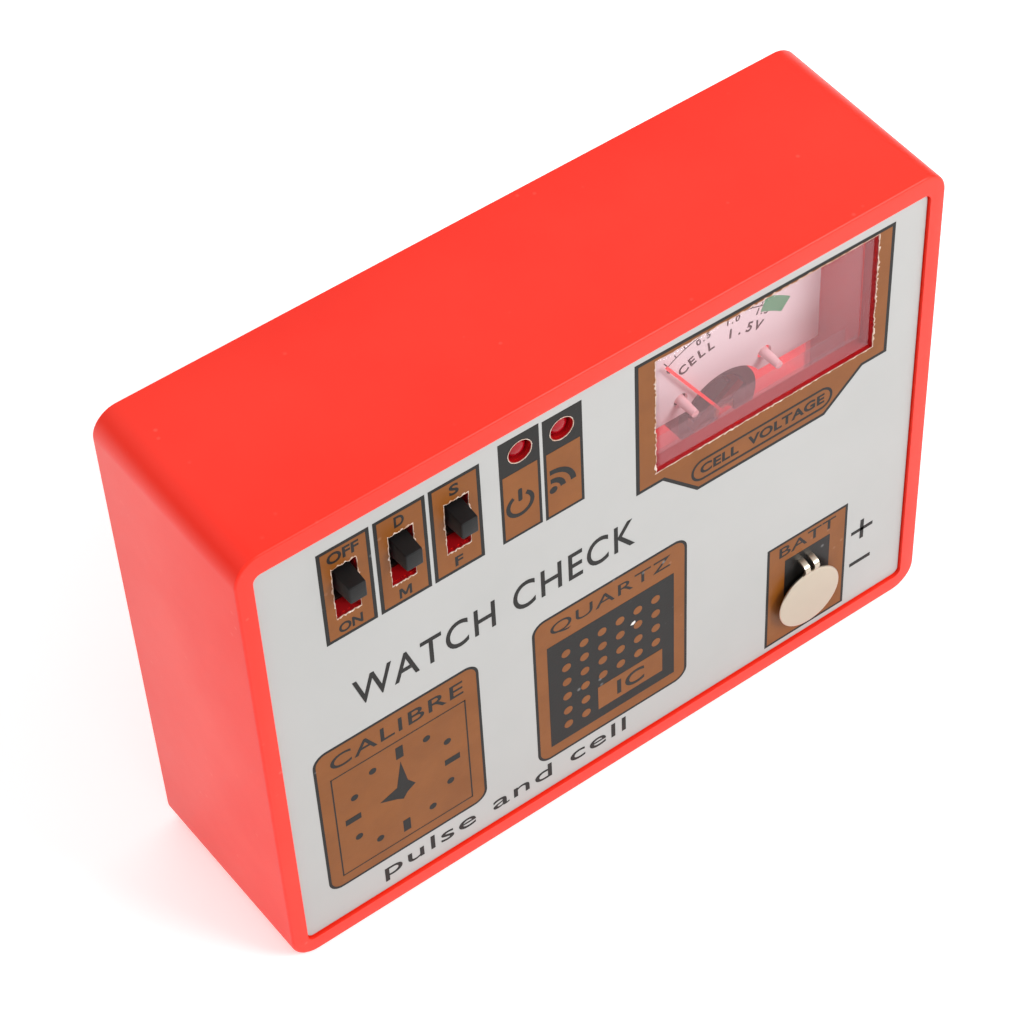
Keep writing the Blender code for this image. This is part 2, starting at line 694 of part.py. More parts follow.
def meter_movement():
    """The coil, its front pivot with the pointer, and its rear pivot turn together about the meter's axis."""
    core_front = RING_FRONT + COIL_WIRE
    core_back = core_front + MAGNET_DEPTH - 2 * COIL_WIRE
    inner_front, inner_back = core_front - GAP, core_back + GAP
    outer = (CORE_RADIUS + YOKE_RADIUS - YOKE_WALL + COIL_WIRE) / 2
    low = (-outer, inner_front - COIL_WIRE, -COIL_THICKNESS / 2)
    high = (outer, inner_back + COIL_WIRE, COIL_THICKNESS / 2)
    pivot = spot(METER_X, 0, PIVOT_Z)
    turn = Matrix.Translation(pivot) @ Matrix.Rotation(-ZERO_ANGLE, 4, "Y")
    loop = add_box(bmesh.new(), low, high)
    bmesh.ops.transform(loop, matrix=turn, verts=loop.verts)
    axis_point = spot(METER_X, SCALE_FRONT, PIVOT_Z)
    coil = piece("meter_coil", loop, "copper_wire", origin=axis_point, parent=movement)
    hollow = add_box(
        bmesh.new(),
        (-outer + COIL_WIRE, inner_front, -COIL_THICKNESS),
        (outer - COIL_WIRE, inner_back, COIL_THICKNESS),
    )
    bmesh.ops.transform(hollow, matrix=turn, verts=hollow.verts)
    cut(coil, hollow)
    pointer_front = SCALE_FRONT - POINTER_LIFT - POINTER_THICKNESS
    bar = add_box(
        bmesh.new(),
        (-POINTER_WIDTH / 2, pointer_front, 0),
        (POINTER_WIDTH / 2, pointer_front + POINTER_THICKNESS, POINTER_REACH),
    )
    bmesh.ops.transform(bar, matrix=turn, verts=bar.verts)
    pointer = piece("meter_pointer", bar, "pointer_red", origin=axis_point, parent=movement)
    coil_front = inner_front - COIL_WIRE
    proud = 0.2 * MM
    hub = rod(spot(METER_X, pointer_front - proud, PIVOT_Z), POINTER_THICKNESS + 2 * proud, HUB_RADIUS)
    shaft_length = coil_front - GAP - pointer_front
    shaft = rod(spot(METER_X, pointer_front, PIVOT_Z), shaft_length, PIVOT_RADIUS, sides=12)
    join(pointer, hub, shaft)
    rear = spot(METER_X, inner_back + COIL_WIRE + GAP, PIVOT_Z)
    stub = rod(rear, 1.2 * MM, PIVOT_RADIUS, sides=12)
    piece("meter_rear_pivot", stub, "steel", origin=rear, parent=movement)


def hairspring():
    """A flat spiral round the rear pivot, made as one extruded strip."""
    start_y = RING_FRONT + MAGNET_DEPTH + 2 * GAP
    mesh = bmesh.new()
    steps = 16
    inner, outer = [], []
    for step in range(SPRING_TURNS * steps + 1):
        angle = 2 * pi * step / steps
        radius = PIVOT_RADIUS + GAP + SPRING_PITCH * step / steps
        for side, row in ((0, inner), (SPRING_STRIP, outer)):
            out = radius + side
            row.append(mesh.verts.new(spot(METER_X + out * cos(angle), start_y, PIVOT_Z + out * sin(angle))))
    faces = [
        mesh.faces.new((inner[i], inner[i + 1], outer[i + 1], outer[i]))
        for i in range(len(inner) - 1)
    ]
    grown = bmesh.ops.extrude_face_region(mesh, geom=faces, use_keep_orig=True)["geom"]
    moved = [item for item in grown if isinstance(item, bmesh.types.BMVert)]
    bmesh.ops.translate(mesh, verts=moved, vec=(0, 2 * SPRING_STRIP, 0))
    piece("meter_hairspring", mesh, "brass")


def bridge():
    """The strip in front of the ring that carries the front pivot in a hole."""
    back = SCALE_FRONT
    front = back - POINTER_LIFT + GAP
    half = 1.5 * MM
    low_z = PIVOT_Z - YOKE_RADIUS
    strip = piece(
        "meter_bridge",
        box(spot(METER_X - half, front, low_z), spot(METER_X + half, back - GAP / 2, PIVOT_Z + half)),
        "brass",
    )
    start = spot(METER_X, front - OVERCUT, PIVOT_Z)
    cut(strip, rod(start, 4 * OVERCUT, PIVOT_RADIUS + GAP, sides=SMALL_ROUND))


def cell_pad():
    front = LABEL_FRONT - GAP - PAD_THICKNESS
    face = rod(spot(CELL_X, front, CELL_HEIGHT), PAD_THICKNESS, PAD_RADIUS, sides=32)
    pad = piece("cell_pad", face, "nickel")
    start = front + PAD_THICKNESS / 2
    stem = INNER_FACE + 2 * MM - start
    join(pad, rod(spot(CELL_X, start, CELL_HEIGHT), stem, RIVET_RADIUS, sides=SMALL_ROUND))


def cell_contact():
    """The sprung disc on its arched neck, which turns about the point where the neck enters the panel."""
    disc_back = LABEL_FRONT - 2 * GAP - PAD_THICKNESS
    disc_front = disc_back - DISC_THICKNESS
    top_z = CELL_HEIGHT + DISC_RADIUS
    # Middle line of the neck from the disc's edge, out over the arch and back to the panel, as (y, z).
    line = [(disc_back - DISC_THICKNESS / 2, top_z - 0.9 * MM)]
    rise = HINGE_Z - top_z
    for step in range(9):
        angle = pi * step / 8
        swell = NECK_BULGE * sin(angle)
        along = step / 8
        y = (disc_front + DISC_THICKNESS / 2) * (1 - along) + HINGE_Y * along - swell
        line.append((y, top_z + rise * sin(angle / 2)))
    mesh = bmesh.new()
    half = NECK_WIDTH / 2
    rows = []
    for index, (y, z) in enumerate(line):
        before, after = line[max(index - 1, 0)], line[min(index + 1, len(line) - 1)]
        run = Vector((0, after[0] - before[0], after[1] - before[1])).normalized()
        side = run.cross(Vector((1, 0, 0))) * NECK_THICKNESS / 2
        middle = spot(CELL_X, y, z)
        across = Vector((half, 0, 0))
        left, right = middle - across, middle + across
        corners = (left - side, right - side, right + side, left + side)
        rows.append([mesh.verts.new(corner) for corner in corners])
    for row, following in zip(rows, rows[1:]):
        for i in range(4):
            mesh.faces.new((row[i], row[(i + 1) % 4], following[(i + 1) % 4], following[i]))
    mesh.faces.new(rows[0])
    mesh.faces.new(rows[-1])
    contact = piece("cell_disc", mesh, "nickel", origin=spot(CELL_X, HINGE_Y, HINGE_Z))
    join(contact, rod(spot(CELL_X, disc_front, CELL_HEIGHT), DISC_THICKNESS, DISC_RADIUS, sides=40))
    cut(
        contact,
        box(
            spot(CELL_X - NECK_SLIT / 2, disc_front - 3 * MM, top_z + 0.4 * MM),
            spot(CELL_X + NECK_SLIT / 2, LABEL_FRONT - 0.7 * MM, HINGE_Z + 2 * MM),
        ),
    )
    root_start = HINGE_Y + NECK_THICKNESS
    root_end = INNER_FACE + 3 * MM
    half_root = NECK_THICKNESS / 2
    tail = piece(
        "cell_contact_tail",
        box(
            spot(CELL_X - half, root_start, HINGE_Z - half_root),
            spot(CELL_X + half, root_end, HINGE_Z + half_root),
        ),
        "nickel",
    )
    join(
        tail,
        box(
            spot(CELL_X - half, INNER_FACE + GAP, HINGE_Z - half_root),
            spot(CELL_X + half, INNER_FACE + GAP + NECK_THICKNESS, HINGE_Z + 4 * MM),
        ),
    )


def sensors():
    front = INNER_FACE + GAP
    piece(
        "piezo_plate",
        rod(spot(PIEZO_X, front, PIEZO_Z), PIEZO_THICKNESS / 2, PIEZO_RADIUS, sides=40),
        "brass",
    )
    ceramic_front = front + PIEZO_THICKNESS / 2 + GAP
    piece(
        "piezo_ceramic",
        rod(spot(PIEZO_X, ceramic_front, PIEZO_Z), PIEZO_THICKNESS / 2, CERAMIC_RADIUS, sides=40),
        "ceramic",
    )
    axis_y = front + WINDING_RADIUS + GAP
    start = PICKUP_X - CORE_ROD_LENGTH / 2
    core = rod(spot(start, axis_y, PICKUP_Z), CORE_ROD_LENGTH, CORE_ROD_RADIUS, axis="X")
    piece("pickup_core", core, "iron_black")
    bore = CORE_ROD_RADIUS + GAP
    sleeve_radius = bore + BOBBIN_WALL
    left = PICKUP_X - WINDING_LENGTH / 2
    flange_left = left - GAP - BOBBIN_FLANGE
    total = WINDING_LENGTH + 2 * (GAP + BOBBIN_FLANGE)
    sleeve = rod(spot(flange_left, axis_y, PICKUP_Z), total, sleeve_radius, axis="X")
    bobbin = piece("pickup_bobbin", sleeve, "phenolic")
    for x in (flange_left, left + WINDING_LENGTH + GAP):
        join(bobbin, rod(spot(x, axis_y, PICKUP_Z), BOBBIN_FLANGE, WINDING_RADIUS, axis="X"))
    cut(bobbin, rod(spot(flange_left - OVERCUT, axis_y, PICKUP_Z), total + 2 * OVERCUT, bore, axis="X"))
    winding = piece(
        "pickup_winding",
        rod(spot(left, axis_y, PICKUP_Z), WINDING_LENGTH, WINDING_RADIUS, axis="X"),
        "copper_wire",
    )
    hole_start = spot(left - OVERCUT, axis_y, PICKUP_Z)
    cut(winding, rod(hole_start, WINDING_LENGTH + 2 * OVERCUT, sleeve_radius + GAP, axis="X"))


def board_parts():
    face = BOARD_FRONT + BOARD_THICKNESS + GAP
    top = HEIGHT - BOARD_TOP_GAP
    length, height, width = CHIP_SIZE
    x, z = BOARD_LEFT + 16 * MM, top - 26 * MM
    leg = 0.5 * MM
    body = box(spot(x, face + leg, z), spot(x + length, face + leg + height, z + width))
    chip = piece("timing_chip", body, "chip_black")
    pitch = length / CHIP_LEGS
    for index in range(CHIP_LEGS):
        leg_x = x + (index + 0.5) * pitch
        low = spot(leg_x - leg / 2, face, z - leg)
        high = spot(leg_x + leg / 2, face + leg + height / 2, z + width + leg)
        join(chip, box(low, high))
    for index in range(2):
        place = spot(BOARD_LEFT + 24 * MM + index * 8 * MM, face, top - 9 * MM)
        piece(f"capacitor_{index + 1}", rod(place, CAPACITOR_HEIGHT, CAPACITOR_RADIUS), "capacitor_blue")
    half = TRIMMER_SIZE / 2
    x, z = BOARD_LEFT + 8 * MM, top - 22 * MM
    base = piece(
        "trimmer_base",
        box(spot(x - half, face, z - half), spot(x + half, face + TRIMMER_DEPTH, z + half)),
        "trimmer_blue",
    )
    well = ROTOR_HEIGHT * 0.75
    cut(base, rod(spot(x, face + TRIMMER_DEPTH - well, z), well + OVERCUT, ROTOR_RADIUS + GAP))
    rotor_start = face + TRIMMER_DEPTH - well + GAP
    rotor = piece(
        "trimmer_rotor",
        rod(spot(x, rotor_start, z), ROTOR_HEIGHT, ROTOR_RADIUS),
        "brass",
        origin=spot(x, rotor_start, z),
    )
    slot_half = HEAD_SLOT / 2
    cut(
        rotor,
        box(
            spot(x - ROTOR_RADIUS - OVERCUT, rotor_start + ROTOR_HEIGHT / 2, z - slot_half),
            spot(x + ROTOR_RADIUS + OVERCUT, rotor_start + ROTOR_HEIGHT + OVERCUT, z + slot_half),
        ),
    )


def battery():
    length, depth, height = BATTERY_SIZE
    back = COVER_INSIDE - GAP
    front = back - depth
    right = BATTERY_LEFT + length
    low, high = spot(BATTERY_LEFT, front, BATTERY_BASE), spot(right, back, BATTERY_BASE + height)
    block = piece("battery", box(low, high, bevel=1.2 * MM, along=0), "battery_jacket")
    middle_y = (front + back) / 2
    middle_z = BATTERY_BASE + height / 2
    snap_left = right + 2 * GAP
    snap = piece(
        "battery_snap",
        box(
            spot(snap_left, front + 2 * MM, BATTERY_BASE + MM),
            spot(snap_left + SNAP_THICKNESS, back - 2 * MM, BATTERY_BASE + height - MM),
            bevel=MM, along=0,
        ),
        "snap_black",
    )
    for side in (-1, 1):
        z = middle_z + side * STUD_SPREAD
        join(block, rod(spot(right - OVERCUT, middle_y, z), STUD_HEIGHT + OVERCUT, STUD_RADIUS, axis="X"))
        hole_depth = STUD_HEIGHT + GAP
        cut(snap, rod(spot(right, middle_y, z), hole_depth, STUD_RADIUS + GAP, axis="X"))
    leads(snap_left + SNAP_THICKNESS + GAP + LEAD_RADIUS, middle_y, middle_z)


def leads(x, y, z):
    """Two short insulated wires from the snap up to the board's lower edge."""
    board_low = HEIGHT - BOARD_TOP_GAP - BOARD_HEIGHT
    for name, material, side in (("lead_red", "lead_red", -1), ("lead_black", "lead_black", 1)):
        start = Vector((x, y + side * 2 * MM, z))
        end_x = BOARD_LEFT + BOARD_WIDTH - 8 * MM + side * 3 * MM
        end = Vector((end_x, BOARD_FRONT + BOARD_THICKNESS + 3 * MM, board_low + 5 * MM))
        points = []
        steps = 12
        for step in range(steps + 1):
            t = step / steps
            out = start + Vector((14 * MM, 0, 6 * MM))
            back = end + Vector((8 * MM, 4 * MM, -2 * MM))
            early = start * (1 - t) ** 3 + out * 3 * t * (1 - t) ** 2
            late = back * 3 * t * t * (1 - t) + end * t ** 3
            points.append(spot(*(early + late)))
        curve = bpy.data.curves.new(name, "CURVE")
        curve.dimensions = "3D"
        curve.bevel_depth = LEAD_RADIUS
        curve.bevel_resolution = 2
        curve.use_fill_caps = True
        spline = curve.splines.new("POLY")
        spline.points.add(len(points) - 1)
        for point, place in zip(spline.points, points):
            point.co = (*(place - points[0]), 1.0)
        curve.materials.append(materials[material])
        wire = bpy.data.objects.new(name, curve)
        wire.location = points[0]
        wire.parent = tester
        bpy.context.scene.collection.objects.link(wire)


def set_finishes():
    finish("red_plastic", (1.0, 0.045, 0.023), 0.42)
    finish("label_film", (0.63, 0.62, 0.59), 0.38)
    finish("knob_plastic", (0.015, 0.016, 0.017), 0.45)
    finish("lamp_red", (0.35, 0.0, 0.004), 0.12)
    finish("clear_styrene", (1.0, 0.82, 0.84), 0.05, alpha=0.35)
    finish("meter_pink", (0.85, 0.25, 0.27), 0.3)
    finish("scale_white", (0.8, 0.78, 0.78), 0.5)
    finish("pin_plastic", (0.9, 0.72, 0.72), 0.4)
    finish("pointer_red", (1.0, 0.07, 0.06), 0.4)
    finish("iron_black", (0.05, 0.05, 0.05), 0.5, metallic=0.6)
    finish("copper_wire", (0.45, 0.16, 0.07), 0.35, metallic=0.9)
    finish("brass", (0.62, 0.45, 0.18), 0.3, metallic=1.0)
    finish("steel", (0.6, 0.6, 0.6), 0.3, metallic=1.0)
    finish("nickel", (0.72, 0.62, 0.5), 0.28, metallic=1.0)
    finish("zinc", (0.62, 0.62, 0.6), 0.35, metallic=1.0)
    finish("switch_steel", (0.55, 0.55, 0.54), 0.35, metallic=1.0)
    finish("phenolic", (0.16, 0.08, 0.04), 0.55)
    finish("board_laminate", (0.35, 0.24, 0.09), 0.5)
    finish("ceramic", (0.82, 0.8, 0.74), 0.35)
    finish("chip_black", (0.02, 0.02, 0.02), 0.5)
    finish("capacitor_blue", (0.02, 0.05, 0.2), 0.35)
    finish("trimmer_blue", (0.03, 0.14, 0.45), 0.4)
    finish("battery_jacket", (0.03, 0.03, 0.035), 0.3, metallic=0.2)
    finish("snap_black", (0.02, 0.02, 0.02), 0.6)
    finish("lead_red", (0.6, 0.02, 0.015), 0.5)
    finish("lead_black", (0.015, 0.015, 0.015), 0.5)


for old in list(bpy.data.objects):
    bpy.data.objects.remove(old, do_unlink=True)

set_finishes()
tester = empty("tester", (0, 0, 0))
movement = empty("movement_axis", spot(METER_X, SCALE_FRONT, PIVOT_Z))
case_shell()
front_label()
back_cover()
battery_door()
screws()
circuit_board()
for number in range(SWITCH_COUNT):
    slide_switch(number)
for lamp_name, (lamp_x, lamp_drop) in zip(LAMP_NAMES, LAMP_PLACES):
    lamp(lamp_name, lamp_x, HEIGHT - lamp_drop)
meter_cover()
meter_base()
meter_scale()
meter_magnet()
meter_movement()
hairspring()
bridge()
cell_pad()
cell_contact()
sensors()
board_parts()
battery()
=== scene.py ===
"""Quartz watch tester in its finished looks: case, panel, switches, lamps, meter and contact."""

from math import cos, pi, radians, sin

import bmesh
import bpy
from mathutils import Matrix, Quaternion, Vector, noise


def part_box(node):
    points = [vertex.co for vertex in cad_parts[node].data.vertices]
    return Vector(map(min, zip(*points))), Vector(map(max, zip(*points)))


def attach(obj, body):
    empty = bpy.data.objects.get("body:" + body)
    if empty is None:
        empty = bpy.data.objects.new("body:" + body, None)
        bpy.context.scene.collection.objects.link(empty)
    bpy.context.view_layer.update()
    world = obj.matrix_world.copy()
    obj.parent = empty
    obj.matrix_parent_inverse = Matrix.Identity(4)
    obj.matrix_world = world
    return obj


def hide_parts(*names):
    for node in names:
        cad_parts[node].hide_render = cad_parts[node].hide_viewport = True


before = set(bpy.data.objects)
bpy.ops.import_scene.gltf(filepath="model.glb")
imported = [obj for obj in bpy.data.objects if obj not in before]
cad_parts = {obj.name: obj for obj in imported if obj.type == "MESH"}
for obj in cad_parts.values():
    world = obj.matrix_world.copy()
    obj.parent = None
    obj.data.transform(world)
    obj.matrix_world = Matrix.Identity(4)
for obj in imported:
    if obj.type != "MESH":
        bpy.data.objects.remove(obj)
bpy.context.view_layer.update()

MM = 0.001

# The case, as the frame gives it
CASE_LOW, CASE_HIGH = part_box("case_shell")
LABEL_LOW, LABEL_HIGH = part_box("front_label")
DRAFT = 0.5 * MM
CORNER_RADIUS = 4.0 * MM
RIM_FILLET = 0.4 * MM
RIM = 2.5 * MM
RIM_BELOW = 2.8 * MM
RIM_ABOVE = 3.25 * MM
WALL = 2.2 * MM
FRONT_WALL = 2.0 * MM
SEAT_DEPTH = 1.05 * MM
GAP = 0.3 * MM
LEFT = CASE_LOW.x + DRAFT
RIGHT = CASE_HIGH.x - DRAFT
TOP = CASE_HIGH.z - DRAFT
PANEL = LABEL_LOW.y
INK = 0.012
STYRENE_IOR = 1.45
MILKINESS = 0.12

# Places on the printed panel, in millimetres from its datum point
DATUM = Vector((-55.0 * MM, PANEL, 0.63 * MM))
SWITCH_X = (14.6, 23.0, 31.4)
SWITCH_Z = 67.4
SLOT = (3.7, 9.2)
LAMP_PLACES = ((41.3, 74.0), (47.8, 73.8))
LAMP_HOLE = 1.8
KNOB_TRAVEL = 4.0
PIVOT = (81.25, 47.45)
WINDOW = (62.7, 55.25, 99.8, 76.15)

DARK, COPPER, PALE, GREEN = range(4)


# ---------------------------------------------------------------- materials

def node_group(name, inputs, outputs):
    """A shader group with float or vector sockets, given as name: kind and name: default."""
    group = bpy.data.node_groups.new(name, "ShaderNodeTree")
    for label, kind, value in inputs:
        socket = group.interface.new_socket(label, in_out="INPUT", socket_type=kind)
        if value is not None:
            socket.default_value = value
    for label, kind in outputs:
        group.interface.new_socket(label, in_out="OUTPUT", socket_type=kind)
    return group, group.nodes.new("NodeGroupInput"), group.nodes.new("NodeGroupOutput")


def wire(tree, source, target):
    tree.links.new(source, target)


def maths(tree, operation, first, second, clamp=False):
    node = tree.nodes.new("ShaderNodeMath")
    node.operation = operation
    node.use_clamp = clamp
    for socket, value in zip(node.inputs, (first, second)):
        if isinstance(value, (int, float)):
            socket.default_value = value
        else:
            wire(tree, value, socket)
    return node.outputs[0]


def noise_field(tree, vector, scale, detail=2.0, roughness=0.5):
    node = tree.nodes.new("ShaderNodeTexNoise")
    node.inputs["Scale"].default_value = scale
    node.inputs["Detail"].default_value = detail
    node.inputs["Roughness"].default_value = roughness
    wire(tree, vector, node.inputs["Vector"])
    return node.outputs["Fac"]


def span(tree, value, low, high, out_low=0.0, out_high=1.0):
    node = tree.nodes.new("ShaderNodeMapRange")
    for label, number in (("From Min", low), ("From Max", high), ("To Min", out_low), ("To Max", out_high)):
        node.inputs[label].default_value = number
    wire(tree, value, node.inputs["Value"])
    return node.outputs["Result"]


def make_surface_wear():
    """Fine moulded grain, soft handling smudges, pale specks and hairline scuffs, as heights and masks."""
    inputs = (
        ("Vector", "NodeSocketVector", None),
        ("Grain Scale", "NodeSocketFloat", 3000.0),
        ("Speck Amount", "NodeSocketFloat", 0.5),
    )
    outputs = (
        ("Height", "NodeSocketFloat"),
        ("Smudge", "NodeSocketFloat"),
        ("Specks", "NodeSocketFloat"),
        ("Scuffs", "NodeSocketFloat"),
    )
    group, source, sink = node_group("surface_wear", inputs, outputs)
    place = source.outputs["Vector"]
    grain = group.nodes.new("ShaderNodeTexNoise")
    grain.inputs["Detail"].default_value = 3.0
    wire(group, place, grain.inputs["Vector"])
    wire(group, source.outputs["Grain Scale"], grain.inputs["Scale"])
    smudge = noise_field(group, place, 38.0, 4.0, 0.6)
    dots = group.nodes.new("ShaderNodeTexVoronoi")
    dots.inputs["Scale"].default_value = 420.0
    wire(group, place, dots.inputs["Vector"])
    near = span(group, dots.outputs["Distance"], 0.16, 0.05)
    thin = span(group, noise_field(group, place, 90.0, 1.0), 0.56, 0.66)
    dust = maths(group, "MULTIPLY", near, thin)
    specks = maths(group, "MULTIPLY", dust, source.outputs["Speck Amount"], clamp=True)
    stretched = group.nodes.new("ShaderNodeMapping")
    stretched.inputs["Rotation"].default_value = (0.3, 0.5, 0.7)
    stretched.inputs["Scale"].default_value = (60.0, 900.0, 900.0)
    wire(group, place, stretched.inputs["Vector"])
    lines = noise_field(group, stretched.outputs["Vector"], 1.0, 1.0)
    patches = span(group, noise_field(group, place, 55.0, 2.0), 0.6, 0.75)
    scuffs = maths(group, "MULTIPLY", span(group, lines, 0.7, 0.78), patches, clamp=True)
    wire(group, grain.outputs["Fac"], sink.inputs["Height"])
    wire(group, smudge, sink.inputs["Smudge"])
    wire(group, specks, sink.inputs["Specks"])
    wire(group, scuffs, sink.inputs["Scuffs"])
    return group


def make_edge_wear():
    """A mask of the convex edges, broken up by noise."""
    inputs = (
        ("Vector", "NodeSocketVector", None),
        ("Breakup Scale", "NodeSocketFloat", 300.0),
        ("Sharpness", "NodeSocketFloat", 0.08),
    )
    group, source, sink = node_group("edge_wear", inputs, (("Mask", "NodeSocketFloat"),))
    shape = group.nodes.new("ShaderNodeNewGeometry")
    convex = maths(group, "SUBTRACT", shape.outputs["Pointiness"], 0.5)
    edge = maths(group, "DIVIDE", convex, source.outputs["Sharpness"], clamp=True)
    broken = group.nodes.new("ShaderNodeTexNoise")
    wire(group, source.outputs["Vector"], broken.inputs["Vector"])
    wire(group, source.outputs["Breakup Scale"], broken.inputs["Scale"])
    mask = maths(group, "MULTIPLY", edge, span(group, broken.outputs["Fac"], 0.35, 0.65), clamp=True)
    wire(group, mask, sink.inputs["Mask"])
    return group


SURFACE_WEAR = make_surface_wear()
EDGE_WEAR = make_edge_wear()


def colour_mix(tree, factor, first, second):
    node = tree.nodes.new("ShaderNodeMix")
    node.data_type = "RGBA"
    wire(tree, factor, node.inputs["Factor"])
    for socket, value in ((node.inputs[6], first), (node.inputs[7], second)):
        if isinstance(value, tuple):
            socket.default_value = (*value, 1.0)
        else:
            wire(tree, value, socket)
    return node.outputs[2]


def finish(
    name, colour, shade=None, roughness=0.45, rough_change=0.08, metallic=0.0, ior=1.5,
    grain=3000.0, grain_height=0.00001, specks=0.0, speck_colour=(0.9, 0.9, 0.9), scuff_colour=None,
    worn=None, tint_scale=None, emission=None,
):
    """A moulded, printed or plated finish, its colour breaking into shade over the surface."""
    material = bpy.data.materials.new(name)
    material.use_nodes = True
    tree = material.node_tree
    shader = tree.nodes["Principled BSDF"]
    place = tree.nodes.new("ShaderNodeTexCoord").outputs["Object"]
    wear = tree.nodes.new("ShaderNodeGroup")
    wear.node_tree = SURFACE_WEAR
    wear.inputs["Grain Scale"].default_value = grain
    wear.inputs["Speck Amount"].default_value = specks
    wire(tree, place, wear.inputs["Vector"])
    shade = shade or tuple(value * 0.88 for value in colour)
    blotch = wear.outputs["Smudge"]
    if tint_scale:
        blotch = noise_field(tree, place, tint_scale, 5.0, 0.6)
    result = colour_mix(tree, span(tree, blotch, 0.35, 0.65), colour, shade)
    if specks:
        result = colour_mix(tree, wear.outputs["Specks"], result, speck_colour)
    if scuff_colour:
        result = colour_mix(tree, wear.outputs["Scuffs"], result, scuff_colour)
    if worn:
        edge = tree.nodes.new("ShaderNodeGroup")
        edge.node_tree = EDGE_WEAR
        wire(tree, place, edge.inputs["Vector"])
        result = colour_mix(tree, edge.outputs["Mask"], result, worn)
    wire(tree, result, shader.inputs["Base Color"])
    rough = span(tree, wear.outputs["Smudge"], 0.3, 0.7, roughness - rough_change, roughness + rough_change)
    wire(tree, rough, shader.inputs["Roughness"])
    shader.inputs["Metallic"].default_value = metallic
    shader.inputs["IOR"].default_value = ior
    if emission:
        shader.inputs["Emission Color"].default_value = (*emission[:3], 1.0)
        shader.inputs["Emission Strength"].default_value = emission[3]
    if grain_height:
        bump = tree.nodes.new("ShaderNodeBump")
        bump.inputs["Distance"].default_value = grain_height
        bump.inputs["Strength"].default_value = 1.0
        wire(tree, wear.outputs["Height"], bump.inputs["Height"])
        wire(tree, bump.outputs["Normal"], shader.inputs["Normal"])
    return material


def clear(name, haze, glow):
    """Clear moulded styrene, a little milky, that lets light through; at a slant it grows more opaque, the
    shader's own mirroring together with a painted sheen of the pink haze colour.
    """
    material = finish(name, haze, haze, roughness=0.05, rough_change=0.01, ior=STYRENE_IOR, grain_height=0)
    tree = material.node_tree
    output = tree.nodes["Material Output"]
    shader = tree.nodes["Principled BSDF"]
    slant = tree.nodes.new("ShaderNodeFresnel")
    slant.inputs["IOR"].default_value = STYRENE_IOR
    side = tree.nodes.new("ShaderNodeNewGeometry")
    outside = maths(tree, "SUBTRACT", 1.0, side.outputs["Backfacing"])
    # Opacity rises at a slant, so the pink haze colour shows there: a painted sheen on top of the shader's
    # own mirroring.
    painted_sheen = maths(tree, "MULTIPLY", slant.outputs["Fac"], outside)
    wire(tree, maths(tree, "ADD", painted_sheen, MILKINESS), shader.inputs["Alpha"])
    ray = tree.nodes.new("ShaderNodeLightPath")
    through = tree.nodes.new("ShaderNodeBsdfTransparent")
    through.inputs["Color"].default_value = (*glow, 1.0)
    either = maths(tree, "MAXIMUM", ray.outputs["Is Shadow Ray"], ray.outputs["Is Diffuse Ray"])
    blend = tree.nodes.new("ShaderNodeMixShader")
    wire(tree, either, blend.inputs["Fac"])
    wire(tree, shader.outputs["BSDF"], blend.inputs[1])
    wire(tree, through.outputs["BSDF"], blend.inputs[2])
    wire(tree, blend.outputs["Shader"], output.inputs["Surface"])
    return material


RED = finish(
    "red_plastic", (0.97, 0.022, 0.0045), (0.94, 0.018, 0.0035), roughness=0.4, rough_change=0.03, ior=1.4,
    grain=2600.0, grain_height=0.000008, specks=0.5, speck_colour=(1.0, 0.13, 0.09),
    scuff_colour=(1.0, 0.07, 0.04),
)
# Darker red for the walls of the panel's openings and the label's cut edges: painted shade that stands in
# for the shade inside those recesses.
RED_PAINTED_SHADE = finish("red_plastic_painted_shade", (0.42, 0.0, 0.003), (0.34, 0.0, 0.002), roughness=0.5)
LABEL = finish(
    "label_film", (0.405, 0.402, 0.392), (0.392, 0.39, 0.38), roughness=0.36, grain=5000.0,
    grain_height=0.000003,
)
INK_DARK = finish(
    "ink_dark", (0.008, 0.007, 0.0065), (0.011, 0.01, 0.009), roughness=0.4, ior=1.27, specks=0.15,
)
INK_COPPER = finish(
    "ink_copper", (0.215, 0.065, 0.006), (0.185, 0.054, 0.004), roughness=0.38, ior=1.3, specks=0.2,
    speck_colour=(0.5, 0.3, 0.2), tint_scale=160.0,
)
TORN = finish(
    "torn_edge", (0.7, 0.58, 0.5), (0.45, 0.27, 0.18), roughness=0.7, grain=9000.0, tint_scale=900.0,
)
KNOB = finish(
    "knob_plastic", (0.005, 0.005, 0.005), (0.008, 0.008, 0.008), roughness=0.45, ior=1.3, grain=6000.0,
    specks=0.5, speck_colour=(0.2, 0.2, 0.2),
)
INK_PALE = finish("ink_pale", (0.7, 0.68, 0.64), roughness=0.5)
INK_GREEN = finish("ink_green", (0.02, 0.36, 0.17), roughness=0.45)
LAMP = finish(
    "lamp_red", (0.33, 0.0, 0.006), (0.26, 0.0, 0.005), roughness=0.16, grain_height=0, ior=1.35,
)
CLEAR = clear("clear_styrene", (0.5, 0.29, 0.31), (1.0, 0.94, 0.95))
# Pink meter tray; its emission is a painted glow, standing in for red light from the case that shows
# through the clear cover, not a lamp.
PINK_WITH_PAINTED_GLOW = finish(
    "meter_pink", (0.9, 0.12, 0.13), (0.75, 0.08, 0.09), roughness=0.3, emission=(1.0, 0.12, 0.14, 0.35),
)
SCALE = finish("scale_white", (0.8, 0.76, 0.78), (0.76, 0.71, 0.74), roughness=0.45)
PIN = finish("pin_plastic", (0.95, 0.72, 0.74), (0.9, 0.62, 0.65), roughness=0.35)
